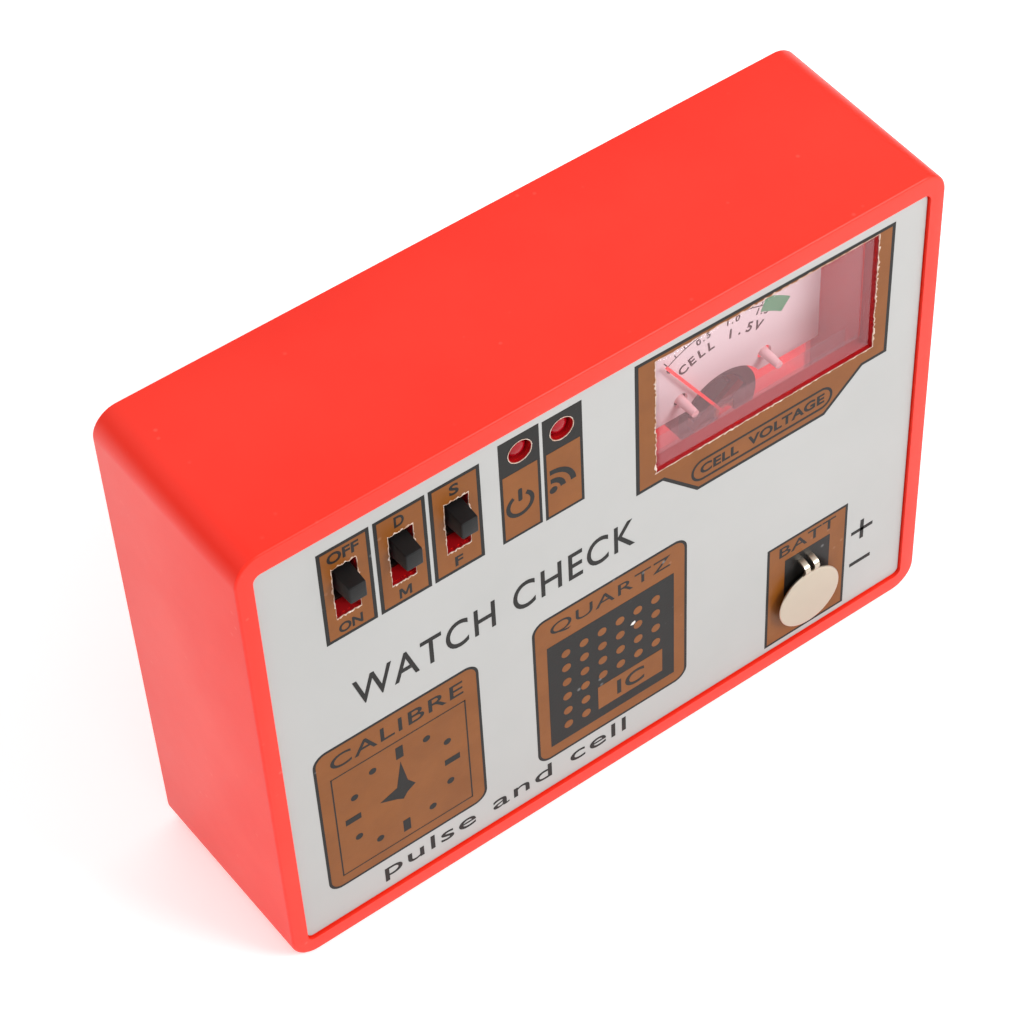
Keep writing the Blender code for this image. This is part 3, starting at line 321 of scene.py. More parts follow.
# Red pointer; its emission is a painted glow that makes it brighter, though it is no lamp.
NEEDLE_PAINTED_GLOW = finish(
    "pointer_red", (1.0, 0.05, 0.05), (0.9, 0.04, 0.04), roughness=0.4, emission=(1.0, 0.03, 0.03, 0.3),
)
IRON = finish(
    "iron_black", (0.05, 0.05, 0.05), (0.09, 0.07, 0.06), roughness=0.5, metallic=0.5, tint_scale=300.0,
)
WINDING = finish(
    "copper_wire", (0.5, 0.17, 0.07), (0.4, 0.1, 0.04), roughness=0.3, metallic=0.9, grain=5000.0,
)
BRASS = finish("brass", (0.68, 0.45, 0.17), (0.6, 0.36, 0.12), roughness=0.3, metallic=1.0)
STEEL = finish("steel", (0.58, 0.58, 0.57), (0.48, 0.48, 0.48), roughness=0.32, metallic=1.0)
NICKEL = finish(
    "nickel", (0.55, 0.48, 0.39), (0.51, 0.44, 0.355), roughness=0.3, rough_change=0.05, metallic=1.0,
    grain=7000.0, grain_height=0.000004,
)
ZINC = finish(
    "zinc", (0.62, 0.62, 0.6), (0.5, 0.5, 0.48), roughness=0.36, metallic=1.0, worn=(0.75, 0.74, 0.72),
)
PHENOLIC = finish("phenolic", (0.16, 0.08, 0.04), (0.11, 0.05, 0.025), roughness=0.55, tint_scale=500.0)
LAMINATE = finish(
    "board_laminate", (0.36, 0.24, 0.09), (0.28, 0.19, 0.08), roughness=0.5, tint_scale=700.0,
)
CERAMIC = finish("ceramic", (0.8, 0.78, 0.72), (0.7, 0.68, 0.64), roughness=0.35)
CHIP = finish("chip_black", (0.02, 0.02, 0.02), (0.03, 0.03, 0.03), roughness=0.5, specks=0.2)
SLEEVE = finish("capacitor_blue", (0.02, 0.05, 0.2), (0.015, 0.04, 0.16), roughness=0.3)
TRIMMER = finish("trimmer_blue", (0.03, 0.14, 0.45), (0.02, 0.11, 0.38), roughness=0.4)
JACKET = finish(
    "battery_jacket", (0.04, 0.04, 0.045), (0.036, 0.036, 0.04), roughness=0.3, metallic=0.2,
)
SNAP = finish("snap_black", (0.02, 0.02, 0.02), (0.03, 0.03, 0.03), roughness=0.6)
WIRE_RED = finish("lead_red", (0.6, 0.02, 0.015), (0.5, 0.015, 0.012), roughness=0.5)
WIRE_BLACK = finish("lead_black", (0.015, 0.015, 0.015), (0.025, 0.025, 0.025), roughness=0.5)


# ---------------------------------------------------------------- shapes

def panel(x, z, lift=0.0):
    """A place on the panel: x and z in millimetres, lift in millimetres out of the label's face."""
    return DATUM + Vector((x, -lift, z)) * MM


def solid(mesh, name="piece", smooth=40.0):
    """The bmesh as an object, with outward faces and edges sharper than smooth degrees kept crisp."""
    bmesh.ops.recalc_face_normals(mesh, faces=mesh.faces)
    data = bpy.data.meshes.new(name)
    mesh.to_mesh(data)
    mesh.free()
    data.shade_smooth()
    data.set_sharp_from_angle(angle=radians(smooth))
    thing = bpy.data.objects.new(name, data)
    bpy.context.scene.collection.objects.link(thing)
    return thing


def settle(thing, body, finishes, stands_for=()):
    """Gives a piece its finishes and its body."""
    for material in finishes if isinstance(finishes, (list, tuple)) else [finishes]:
        thing.data.materials.append(material)
    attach(thing, body)
    if stands_for:
        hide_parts(*stands_for)
    return thing


def carve(thing, cutters, operation="DIFFERENCE", smooth=35.0):
    """Cuts or joins each of the cutters, and keeps the result as the piece's mesh."""
    for cutter in cutters:
        modifier = thing.modifiers.new("carve", "BOOLEAN")
        modifier.operation = operation
        modifier.object = cutter
    graph = bpy.context.evaluated_depsgraph_get()
    graph.update()
    result = bpy.data.meshes.new_from_object(thing.evaluated_get(graph))
    thing.modifiers.clear()
    thing.data = result
    result.shade_smooth()
    result.set_sharp_from_angle(angle=radians(smooth))
    return thing


def discard(things):
    for thing in things:
        bpy.data.objects.remove(thing, do_unlink=True)


def block(low, high, radius=0.0, along=None, segments=4):
    """A box between two corners, its edges along one axis, or all of them, rounded."""
    mesh = bmesh.new()
    low, high = Vector(low), Vector(high)
    size = high - low
    place = Matrix.Translation((low + high) / 2) @ Matrix.Diagonal((*size, 1.0))
    bmesh.ops.create_cube(mesh, size=1.0, matrix=place)
    if radius:
        edges = list(mesh.edges) if along is None else edges_along(mesh, along, size[along] / 2)
        round_edges(mesh, edges, radius, segments)
    return mesh


def round_edges(mesh, edges, radius, segments=3):
    bmesh.ops.bevel(
        mesh, geom=edges, offset=radius, segments=segments, profile=0.5, affect="EDGES", material=-1,
        clamp_overlap=True,
    )


def edges_at(mesh, axis, value):
    return [e for e in mesh.edges if all(abs(v.co[axis] - value) < 1e-6 for v in e.verts)]


def edges_along(mesh, axis, least):
    """The edges that run more than least along an axis."""
    return [e for e in mesh.edges if abs(e.verts[0].co[axis] - e.verts[1].co[axis]) > least]


def disc(centre, depth, radius, sides=48):
    """A round bar that runs back from centre along +Y."""
    mesh = bmesh.new()
    laid = Matrix.Rotation(-pi / 2, 4, "X") @ Matrix.Translation((0, 0, depth / 2))
    bmesh.ops.create_cone(
        mesh, cap_ends=True, segments=sides, radius1=radius, radius2=radius, depth=depth,
        matrix=Matrix.Translation(centre) @ laid,
    )
    return mesh


def turned(profile, centre, steps=48):
    """A solid turned about the Y axis through centre, from (radius, y) points that start and end on it."""
    mesh = bmesh.new()
    verts = [mesh.verts.new((centre.x + r, centre.y + y, centre.z)) for r, y in profile]
    edges = [mesh.edges.new(pair) for pair in zip(verts, verts[1:])]
    bmesh.ops.spin(
        mesh, geom=verts + edges, cent=centre, axis=(0, 1, 0), angle=2 * pi, steps=steps, use_merge=True
    )
    bmesh.ops.remove_doubles(mesh, verts=mesh.verts, dist=1e-7)
    return mesh


def prism(corners, sweep):
    """A closed solid: the face between the corners, swept along."""
    shape = bmesh.new()
    face = shape.faces.new([shape.verts.new(corner) for corner in corners])
    grown = bmesh.ops.extrude_face_region(shape, geom=[face], use_keep_orig=True)["geom"]
    moved = [item for item in grown if isinstance(item, bmesh.types.BMVert)]
    bmesh.ops.translate(shape, verts=moved, vec=sweep)
    bmesh.ops.recalc_face_normals(shape, faces=shape.faces)
    return shape


def punched(shape, holes):
    """The shape with the holes cut through it."""
    if not holes:
        return shape
    piece = carve(solid(shape), holes)
    shape = bmesh.new()
    shape.from_mesh(piece.data)
    discard([piece])
    return shape


def add(sheet, shape, ink):
    """Merges a shape into a printed sheet in one of its inks."""
    for face in shape.faces:
        face.material_index = ink
    data = bpy.data.meshes.new("stamp")
    shape.to_mesh(data)
    shape.free()
    sheet.from_mesh(data)
    bpy.data.meshes.remove(data)


def level(step):
    """Lift of an ink's underside and top: each step prints over the one before."""
    return 0.003, 0.003 + INK * (step + 1)


def slab(sheet, x0, z0, x1, z1, ink, step=0, radius=0.0, holes=()):
    under, top = level(step)
    shape = block(panel(x0, z0, top), panel(x1, z1, under), radius * MM, along=1, segments=8)
    add(sheet, punched(shape, holes), ink)


def bordered(sheet, x0, z0, x1, z1, border, radius=0.0, holes=()):
    """A dark badge with its copper field set inside an even border."""
    slab(sheet, x0, z0, x1, z1, DARK, 0, radius, holes)
    inner = max(radius - border, 0.0)
    slab(sheet, x0 + border, z0 + border, x1 - border, z1 - border, COPPER, 1, inner, holes)


def dot(sheet, x, z, radius, ink, step=2):
    under, top = level(step)
    add(sheet, disc(panel(x, z, top), (top - under) * MM, radius * MM, sides=24), ink)


def outline(sheet, points, ink, step=2, holes=()):
    """A flat shape with straight sides."""
    under, top = level(step)
    shape = prism([panel(x, z, under) for x, z in points], (0, -(top - under) * MM, 0))
    add(sheet, punched(shape, holes), ink)


def arc(sheet, x, z, radius, width, start, end, ink, step=2, steps=24):
    """A band of a circle about (x, z), from start to end degrees, anticlockwise as the panel is read."""
    under, top = level(step)
    shape = bmesh.new()
    turn = Matrix.Rotation(-radians(start), 4, "Y")
    centre = panel(x, z, under)
    corners = []
    for out, height in ((-1, 0), (1, 0), (1, 1), (-1, 1)):
        spoke = Vector(((radius + out * width / 2) * MM, -(top - under) * MM * height, 0))
        corners.append(shape.verts.new(centre + turn @ spoke))
    face = shape.faces.new(corners)
    bmesh.ops.spin(
        shape, geom=[face, *face.edges, *face.verts], cent=centre, axis=(0, -1, 0),
        angle=radians(end - start), steps=steps,
    )
    bmesh.ops.remove_doubles(shape, verts=shape.verts, dist=1e-8)
    bmesh.ops.recalc_face_normals(shape, faces=shape.faces)
    add(sheet, shape, ink)


def letters(text, weight=0.0, spacing=1.0):
    """The text as a bmesh of unit size in the XY plane, a little thick along Z."""
    curve = bpy.data.curves.new("letters", "FONT")
    curve.body = text
    curve.offset = weight
    curve.space_character = spacing
    curve.resolution_u = 6
    curve.extrude = 0.01
    holder = bpy.data.objects.new("letters", curve)
    bpy.context.scene.collection.objects.link(holder)
    bpy.context.view_layer.update()
    data = bpy.data.meshes.new_from_object(holder.evaluated_get(bpy.context.evaluated_depsgraph_get()))
    bpy.data.objects.remove(holder, do_unlink=True)
    shape = bmesh.new()
    shape.from_mesh(data)
    bpy.data.meshes.remove(data)
    bmesh.ops.remove_doubles(shape, verts=shape.verts, dist=1e-5)
    return shape


def words(sheet, text, x0, z0, x1, z1, step=2, weight=0.0, spacing=1.0):
    """Lettering fitted between two corners of the panel."""
    shape = letters(text, weight, spacing)
    low = Vector([min(v.co[i] for v in shape.verts) for i in range(3)])
    high = Vector([max(v.co[i] for v in shape.verts) for i in range(3)])
    under, top = level(step)
    for vert in shape.verts:
        part = [(vert.co[i] - low[i]) / (high[i] - low[i]) for i in range(3)]
        vert.co = panel(x0 + part[0] * (x1 - x0), z0 + part[1] * (z1 - z0), under + part[2] * (top - under))
    bmesh.ops.recalc_face_normals(shape, faces=shape.faces)
    add(sheet, shape, DARK)


def torn_line(width, height, seed, ragged, round_hole=False, count=96):
    """A ring of places round a hole about (0, 0), in millimetres, straying by up to ragged."""
    ring = bmesh.new()
    verts = bmesh.ops.create_circle(ring, segments=count, radius=1.0)["verts"]
    places = []
    for vert in verts:
        x, z = vert.co.x, vert.co.y
        reach = 1.0 if round_hole else max(abs(x), abs(z))
        x, z = x / reach * width / 2, z / reach * height / 2
        probe = Vector((x * 1.7, z * 1.7, seed))
        stray = noise.noise(probe) + 0.6 * noise.noise(probe * 3.1)
        length = max((x * x + z * z) ** 0.5, 0.1)
        places.append((x * (1 + stray * ragged / length), z * (1 + stray * ragged / length)))
    ring.free()
    return places


def hole_cutter(x, z, places):
    """A prism through the label and its inks."""
    return solid(prism([panel(x + dx, z + dz, 0.5) for dx, dz in places], (0, 1.6 * MM, 0)), "hole_cutter")


def torn_edge(name, x, z, places, seed, lip, scatter):
    """The pale burr of cut film round a hole: a thin frill that starts in the cut and lies over the ink."""
    shape = bmesh.new()
    loops = []
    for height, spread in ((-0.06, 0.0), (0.035, 0.0), (0.055, 0.55), (0.03, 1.0)):
        ring = []
        for dx, dz in places:
            probe = Vector((dx * 3.0, dz * 3.0, seed + 7.0))
            stray = max(lip + scatter * (noise.noise(probe) + 0.5 * noise.noise(probe * 3.3)), 0.02)
            grow = 1 + stray * spread / max((dx * dx + dz * dz) ** 0.5, 0.1)
            ring.append(shape.verts.new(panel(x + dx * grow, z + dz * grow, height)))
        loops.append([shape.edges.new(pair) for pair in zip(ring, ring[1:] + ring[:1])])
    for loop, following in zip(loops, loops[1:]):
        bmesh.ops.bridge_loops(shape, edges=loop + following)
    frill = solid(shape, name, smooth=180.0)
    thick = frill.modifiers.new("film", "SOLIDIFY")
    thick.thickness = 0.00002
    thick.offset = 0.0
    carve(frill, (), smooth=180.0)
    return settle(frill, "case", TORN)


# ---------------------------------------------------------------- case

def contact_openings(back, depth):
    """Cutters for the contact's neck, down to back, and for the pad's rivet."""
    low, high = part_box("cell_contact_tail")
    hinge_z = low.z + 0.2 * MM
    half = 0.7 * MM
    neck = block((low.x - GAP, PANEL - MM, hinge_z - half), (high.x + GAP, back, hinge_z + half))
    low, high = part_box("cell_pad")
    rivet = Vector(((low.x + high.x) / 2, PANEL - MM, (low.z + high.z) / 2))
    return [solid(neck), solid(disc(rivet, depth, 1.2 * MM, sides=24))]


def case():
    """The drafted shell: wider at the back, with a filleted rim and the openings of the panel."""
    front, back = CASE_LOW.y, CASE_HIGH.y
    mesh = block((LEFT, front, 0.0), (RIGHT, back, TOP))
    for vert in mesh.verts:
        if vert.co.y > (front + back) / 2:
            vert.co.x += DRAFT if vert.co.x > 0 else -DRAFT
            vert.co.z += DRAFT if vert.co.z > TOP / 2 else 0.0
    round_edges(mesh, edges_along(mesh, 1, (back - front) / 2), CORNER_RADIUS, 16)
    round_edges(mesh, edges_at(mesh, 1, front), RIM_FILLET, 6)
    round_edges(mesh, edges_at(mesh, 1, back), 0.25 * MM, 2)
    shell = solid(mesh, "case")
    seat = front + SEAT_DEPTH
    inner = seat + FRONT_WALL
    recess = (LEFT + RIM, front - MM, RIM_BELOW), (RIGHT - RIM, seat, TOP - RIM_ABOVE)
    hollow = (LEFT + WALL, inner, WALL), (RIGHT - WALL, back + MM, TOP - WALL)
    cutters = [
        solid(block(*recess, RIM / 2, along=1, segments=8)),
        solid(block(*hollow, 2.5 * MM, along=1, segments=8)),
    ]
    for x in SWITCH_X:
        half_x, half_z = SLOT[0] / 2, SLOT[1] / 2
        low = panel(x - half_x, SWITCH_Z - half_z, 2.0)
        high = panel(x + half_x, SWITCH_Z + half_z, -5.0)
        cutters.append(solid(block(low, high, 0.3 * MM, along=1, segments=3)))
    for x, z in LAMP_PLACES:
        cutters.append(solid(disc(panel(x, z, 2.0), 7 * MM, LAMP_HOLE * MM)))
    x0, z0, x1, z1 = WINDOW
    cutters.append(solid(block(panel(x0, z0, 2.0), panel(x1, z1, -5.0), 0.3 * MM, along=1, segments=3)))
    cutters += contact_openings(inner + MM, 6 * MM)
    carve(shell, cutters)
    discard(cutters)
    # The walls of the openings inside the front wall take the second finish, a darker red: painted shade in
    # the recesses.
    for face in shell.data.polygons:
        place = face.center
        in_panel = abs(place.x) < RIGHT - 1.4 * RIM and 1.4 * RIM < place.z < TOP - 1.4 * RIM
        if in_panel and seat + GAP / 2 < place.y < inner - GAP / 2:
            face.material_index = 1
    settle(shell, "case", [RED, RED_PAINTED_SHADE], ("case_shell",))


# ---------------------------------------------------------------- printed panel

def panel_holes():
    """Torn outlines of the label's cut-outs, as (x, z, places, lip, scatter) by name."""
    holes = {}
    for index, x in enumerate(SWITCH_X, 1):
        places = torn_line(SLOT[0], SLOT[1], 10.0 + index, 0.2)
        holes[f"slot_{index}"] = (x, SWITCH_Z, places, 0.16, 0.3)
    for name, (x, z) in zip(("power", "signal"), LAMP_PLACES):
        places = torn_line(2 * LAMP_HOLE, 2 * LAMP_HOLE, x, 0.03, round_hole=True, count=64)
        holes[f"lamp_{name}"] = (x, z, places, 0.1, 0.06)
    x0, z0, x1, z1 = WINDOW
    places = torn_line(x1 - x0, z1 - z0, 30.0, 0.16, count=320)
    holes["window"] = ((x0 + x1) / 2, (z0 + z1) / 2, places, 0.14, 0.4)
    return holes


def label(cutters):
    depth = LABEL_HIGH.y - LABEL_LOW.y + GAP - 0.03 * MM
    low = (LABEL_LOW.x - 0.1 * MM, PANEL, LABEL_LOW.z)
    high = (LABEL_HIGH.x + 0.1 * MM, PANEL + depth, LABEL_HIGH.z)
    film = solid(block(low, high, 1.0 * MM, along=1, segments=6), "front_film")
    own = contact_openings(PANEL + 2 * MM, 4 * MM)
    carve(film, [*cutters, *own])
    discard(own)
    # The film's cut edges and sides take the darker red: painted shade in the openings.
    for face in film.data.polygons:
        face.material_index = int(abs(face.normal.y) < 0.5)
    settle(film, "case", [LABEL, RED_PAINTED_SHADE], ("front_label",))


def print_onto(name, sheet):
    art = solid(sheet, name, smooth=30.0)
    settle(art, "case", [INK_DARK, INK_COPPER, INK_PALE, INK_GREEN])


def switch_badges(cutters):
    marks = (("OFF", 4.7, "ON", 3.6), ("D", 1.5, "", 0), ("S", 1.45, "F", 1.25))
    lefts = (10.85, 19.15, 27.4)
    for index, (left, (upper, upper_wide, lower, lower_wide)) in enumerate(zip(lefts, marks)):
        sheet = bmesh.new()
        bordered(sheet, left, 58.75, left + 7.75, 75.95, 0.55, holes=[cutters[f"slot_{index + 1}"]])
        middle = left + 3.8
        words(sheet, upper, middle - upper_wide / 2, 73.0, middle + upper_wide / 2, 74.95, weight=0.03)
        if lower:
            words(sheet, lower, middle - lower_wide / 2, 59.75, middle + lower_wide / 2, 61.55, weight=0.03)
        else:
            stroke = (
                (0, 0), (0, 1), (0.24, 1), (0.5, 0.42), (0.76, 1), (1, 1), (1, 0), (0.81, 0), (0.81, 0.66),
                (0.59, 0.16), (0.41, 0.16), (0.19, 0.66), (0.19, 0),
            )
            outline(sheet, [(middle - 0.95 + 1.9 * x, 59.75 + 1.8 * z) for x, z in stroke], DARK, 2)
        print_onto(f"switch_badge_{index + 1}", sheet)


def lamp_badges(cutters):
    sheet = bmesh.new()
    hole = [cutters["lamp_power"]]
    slab(sheet, 38.0, 58.6, 44.3, 77.1, DARK, 0, holes=hole)
    slab(sheet, 38.45, 59.05, 43.85, 70.7, COPPER, 1)
    arc(sheet, 40.95, 64.45, 1.9, 0.65, 122, 418, DARK)
    slab(sheet, 40.68, 65.0, 41.33, 67.3, DARK, 2, radius=0.25)
    print_onto("power_badge", sheet)
    sheet = bmesh.new()
    hole = [cutters["lamp_signal"]]
    slab(sheet, 44.8, 58.4, 51.0, 76.9, DARK, 0, holes=hole)
    slab(sheet, 45.25, 58.85, 50.55, 70.5, COPPER, 1)
    dot(sheet, 46.15, 63.45, 0.62, DARK)
    for radius in (1.85, 3.5):
        arc(sheet, 45.85, 63.35, radius, 0.85, 3, 93, DARK)
    print_onto("signal_badge", sheet)


def meter_badge(cutters):
    sheet = bmesh.new()
    hole = [cutters["window"]]
    outer = (
        (59.35, 77.35), (59.35, 53.0), (63.8, 53.0), (69.6, 47.15),
        (91.7, 47.15), (98.2, 52.7), (102.5, 52.7), (102.6, 76.8),
    )
    inner = (
        (59.95, 76.75), (59.95, 53.55), (64.02, 53.55), (69.84, 47.72),
        (91.46, 47.72), (97.96, 53.26), (101.95, 53.26), (102.03, 76.25),
    )
    outline(sheet, outer, DARK, 0, hole)
    outline(sheet, inner, COPPER, 1, hole)
    x0, x1, z0, z1, stroke = 68.55, 93.0, 48.65, 52.75, 0.42
    radius = (z1 - z0) / 2
    middle = (z0 + z1) / 2
    slab(sheet, x0 + radius, z0, x1 - radius, z0 + stroke, DARK, 2)
    slab(sheet, x0 + radius, z1 - stroke, x1 - radius, z1, DARK, 2)
    arc(sheet, x0 + radius, middle, radius - stroke / 2, stroke, 90, 270, DARK)
    arc(sheet, x1 - radius, middle, radius - stroke / 2, stroke, -90, 90, DARK)
    words(sheet, "CELL  VOLTAGE", 70.1, 49.8, 91.6, 51.65, weight=0.035, spacing=1.05)
    print_onto("meter_badge", sheet)


def movement_badge():
    """A dial with quarter bars, round minute dots and one pair of hands."""
    sheet = bmesh.new()
    bordered(sheet, 6.4, 9.0, 32.8, 39.0, 0.45, radius=2.2)
    words(sheet, "CALIBRE", 9.0, 34.35, 30.2, 37.1, weight=0.008, spacing=1.1)
    x0, z0, x1, z1, stroke = 8.7, 11.2, 30.4, 32.75, 0.22
    slab(sheet, x0, z0, x1, z0 + stroke, DARK, 2)
    slab(sheet, x0, z1 - stroke, x1, z1, DARK, 2)
    slab(sheet, x0, z0, x0 + stroke, z1, DARK, 2)
    slab(sheet, x1 - stroke, z0, x1, z1, DARK, 2)
    centre_x, centre_z, reach = 19.5, 22.0, 8.1
    for turn in range(4):
        x = centre_x + reach * cos(turn * pi / 2)
        z = centre_z + reach * sin(turn * pi / 2)
        half = (0.6, 1.25) if turn % 2 else (1.25, 0.6)
        slab(sheet, x - half[0], z - half[1], x + half[0], z + half[1], DARK, 2)
    for hour in range(12):
        if hour % 3:
            angle = hour * pi / 6
            dot(sheet, centre_x + 8.7 * cos(angle), centre_z + 8.7 * sin(angle), 0.6, DARK)
    hands = (
        (19.5, 28.1), (20.35, 23.4), (21.5, 21.8), (20.1, 20.9),
        (19.4, 19.9), (18.4, 20.6), (15.7, 21.95), (18.55, 23.0),
    )
    outline(sheet, hands, DARK, 2)
    print_onto("movement_badge", sheet)


def pickup_badge():
    """A square field of dots with a chip symbol in its corner."""
    sheet = bmesh.new()
    bordered(sheet, 41.6, 8.8, 67.9, 39.2, 0.45, radius=2.2)
    words(sheet, "QUARTZ", 44.6, 34.6, 65.0, 37.35, weight=0.004, spacing=1.1)
    slab(sheet, 43.9, 11.3, 65.6, 33.0, DARK, 2)
    for row, z in enumerate((29.7, 26.65, 23.55, 20.4, 17.25, 14.2)):
        for column in range(6 if row < 4 else 2):
            dot(sheet, 47.0 + 3.08 * column, z, 0.75, COPPER, 3)
    slab(sheet, 52.2, 13.3, 63.5, 18.15, COPPER, 3)
    words(sheet, "IC", 55.5, 14.15, 60.3, 17.2, step=4, weight=0.02, spacing=1.1)
    outline(sheet, ((58.0, 27.4), (58.5, 27.2), (58.9, 27.5), (58.8, 27.9), (58.3, 27.8)), PALE, 4)
    print_onto("pickup_badge", sheet)


def cell_badge():
    sheet = bmesh.new()
    bordered(sheet, 82.4, 3.5, 97.2, 25.2, 0.45)
    words(sheet, "BATT", 84.6, 22.05, 95.0, 24.15, weight=0.01, spacing=1.05)
    slab(sheet, 85.7, 8.0, 94.0, 20.9, DARK, 2)
    print_onto("cell_badge", sheet)
    sheet = bmesh.new()
    slab(sheet, 98.2, 17.3, 102.2, 17.95, DARK, 2)
    slab(sheet, 99.85, 15.6, 100.5, 19.6, DARK, 2)
    slab(sheet, 98.2, 10.35, 102.1, 11.05, DARK, 2)
    print_onto("polarity_marks", sheet)


def headlines():
    sheet = bmesh.new()
    words(sheet, "WATCH CHECK", 13.7, 44.0, 59.0, 49.25, weight=0.006, spacing=1.12)
    print_onto("headline", sheet)
    sheet = bmesh.new()
    words(sheet, "pulse and cell", 15.2, 4.1, 56.9, 7.95, weight=0.004, spacing=1.1)
    print_onto("lower_line", sheet)


# ---------------------------------------------------------------- switches and lamps

def switch_knob(index, x):
    """A black knob, narrower towards its flat tip, on the slider that keeps it in the switch."""
    rest = SWITCH_Z + KNOB_TRAVEL / 2 - 0.1
    mesh = block(panel(x - 1.45, rest - 2.0, 2.9), panel(x + 1.45, rest + 1.65, -4.1))
    tip = panel(x, rest, 2.9)
    for vert in mesh.verts:
        if abs(vert.co.y - tip.y) < GAP:
            vert.co.x = tip.x + (vert.co.x - tip.x) * 0.86
            vert.co.z = tip.z + (vert.co.z - tip.z) * 0.76
    round_edges(mesh, list(mesh.edges), 0.2 * MM, 3)
    knob = solid(mesh, f"knob_{index}")
    low, high = panel(x - 2.6, rest - 3.6, -3.7), panel(x + 2.6, rest + 3.6, -6.2)
    slider = solid(block(low, high, 0.2 * MM, segments=2))
    carve(knob, [slider], "UNION")
    discard([slider])
    node = f"switch_knob_{index}"
    settle(knob, node, KNOB, (node,))


def lamp(name, x, z):
    """A domed lens sunk in its hole, with the flange that stops it from behind."""
    dome = [(1.68 * sin(radians(turn)), 1.1 - 1.1 * cos(radians(turn))) for turn in range(0, 91, 6)]
    profile = [*dome, (1.68, 4.5), (1.85, 4.55), (1.9, 4.7), (1.9, 5.4), (1.8, 5.5), (0, 5.5)]
    lens = solid(turned([(r * MM, y * MM) for r, y in profile], panel(x, z, -0.3)), f"{name}_lens")
    settle(lens, "case", LAMP, (name,))


# ---------------------------------------------------------------- meter

def meter_cover():
    """The clear window with its chamfered front, and the deeper body behind the panel."""
    low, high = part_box("meter_cover")
    face = panel(63.0, 55.55, -0.15)
    mesh = block(face, high)
    round_edges(mesh, edges_at(mesh, 1, face.y), 0.45 * MM, 1)
    round_edges(mesh, edges_along(mesh, 1, 5 * MM), 0.3 * MM, 3)
    cover = solid(mesh, "meter_window")
    slip = 0.01 * MM
    body_front = PANEL + 2.85 * MM
    body = solid(block((low.x + slip, body_front, low.z), (high.x - slip, high.y - slip, high.z - slip)))
    wall = 1.1 * MM
    inset = wall + slip
    front = block(
        face + Vector((wall, wall, wall)), high + Vector((-wall, MM, -wall)), 0.3 * MM, segments=2
    )
    behind = block(
        (low.x + inset, body_front + wall, low.z + wall), (high.x - inset, high.y + MM, high.z - 2 * wall)
    )
    hollows = [solid(front), solid(behind)]
    carve(cover, [body], "UNION")
    carve(cover, hollows)
    discard([body, *hollows])
    settle(cover, "case", CLEAR, ("meter_cover",))


def arc_words(sheet, text, radius, height, start, step_angle):
    """Lettering round the meter's axis, its angles in degrees clockwise from straight up."""
    for index, mark in enumerate(text):
        if mark == " ":
            continue
        shape = letters(mark, 0.03)
        middle = (min(v.co.x for v in shape.verts) + max(v.co.x for v in shape.verts)) / 2
        angle = radians(start + index * step_angle)
        thick = max(v.co.z for v in shape.verts)
        under, top = level(0)
        for vert in shape.verts:
            across, up = (vert.co.x - middle) * height / 0.7, radius + vert.co.y * height / 0.7
            x = PIVOT[0] + up * sin(angle) + across * cos(angle)
            z = PIVOT[1] + up * cos(angle) - across * sin(angle)
            vert.co = panel(x, z, under if vert.co.z < thick / 2 else top)
        bmesh.ops.recalc_face_normals(shape, faces=shape.faces)
        add(sheet, shape, DARK)


def scale_print():
    """What is printed on the scale plate: arc, ticks, numbers, caption and green sector."""
    sheet = bmesh.new()
    x, z = PIVOT
    line = 17.3
    arc_words(sheet, "CELL 1.5V", 13.3, 1.6, -29, 6.8)
    for text, angle in (("0", -34.0), ("0.5", -15.0), ("1.0", 2.5), ("1.5", 21.0)):
        arc_words(sheet, text, 15.9, 1.1, angle, 3.0)
    arc(sheet, x, z, line, 0.18, 56, 124, DARK, 0, steps=40)
    for step in range(13):
        turn = radians(-33 + step * 5.5)
        reach = 18.0 if step % 3 else 18.5
        middle, half = (line + reach) / 2, (reach - line) / 2 * MM
        tick = block((-0.09 * MM, 0, -half), (0.09 * MM, INK * MM, half))
        place = Matrix.Translation(panel(x + middle * sin(turn), z + middle * cos(turn), level(0)[1]))
        bmesh.ops.transform(tick, matrix=place @ Matrix.Rotation(turn, 4, "Y"), verts=tick.verts)
        add(sheet, tick, DARK)
    arc(sheet, x, z, 17.5, 2.5, 52, 67, GREEN, 1, steps=12)
    plate_low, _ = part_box("meter_scale")
    bmesh.ops.translate(sheet, verts=sheet.verts, vec=(0, plate_low.y - PANEL, 0))
    art = solid(sheet, "scale_print", smooth=30.0)
    settle(art, "case", [INK_DARK, INK_COPPER, INK_PALE, INK_GREEN])


# ---------------------------------------------------------------- cell contact

def cell_contact():
    """The sprung disc with its arched neck, split by a slit where it turns back into the panel."""
    x, z = 89.5, 11.5
    face = [(0, 0), (4.9, 0), (5.25, 0.04), (5.43, 0.13), (5.5, 0.26), (5.45, 0.42), (5.3, 0.5), (0, 0.5)]
    plate = solid(turned([(r * MM, y * MM) for r, y in face], panel(x, z, 1.5), steps=96), "contact")
    path = [(1.25, 15.6)]
    steps = 28
    for step in range(steps + 1):
        along = step / steps
        path.append((1.25 - 1.55 * along + sin(pi * along), 17.0 + 2.0 * sin(pi * along / 2)))
    sides = ([], [])
    for index, (lift, height) in enumerate(path):
        before, after = path[max(index - 1, 0)], path[min(index + 1, len(path) - 1)]
        run = Vector((after[0] - before[0], after[1] - before[1])).normalized() * 0.2
        sides[0].append((lift - run.y, height + run.x))
        sides[1].append((lift + run.y, height - run.x))
    for left in (x - 1.3, x + 0.4):
        corners = [panel(left, height, lift) for lift, height in sides[0] + sides[1][::-1]]
        prong = solid(prism(corners, (0.9 * MM, 0, 0)))
        carve(plate, [prong], "UNION")
        discard([prong])
    settle(plate, "cell_contact", NICKEL, ("cell_disc",))


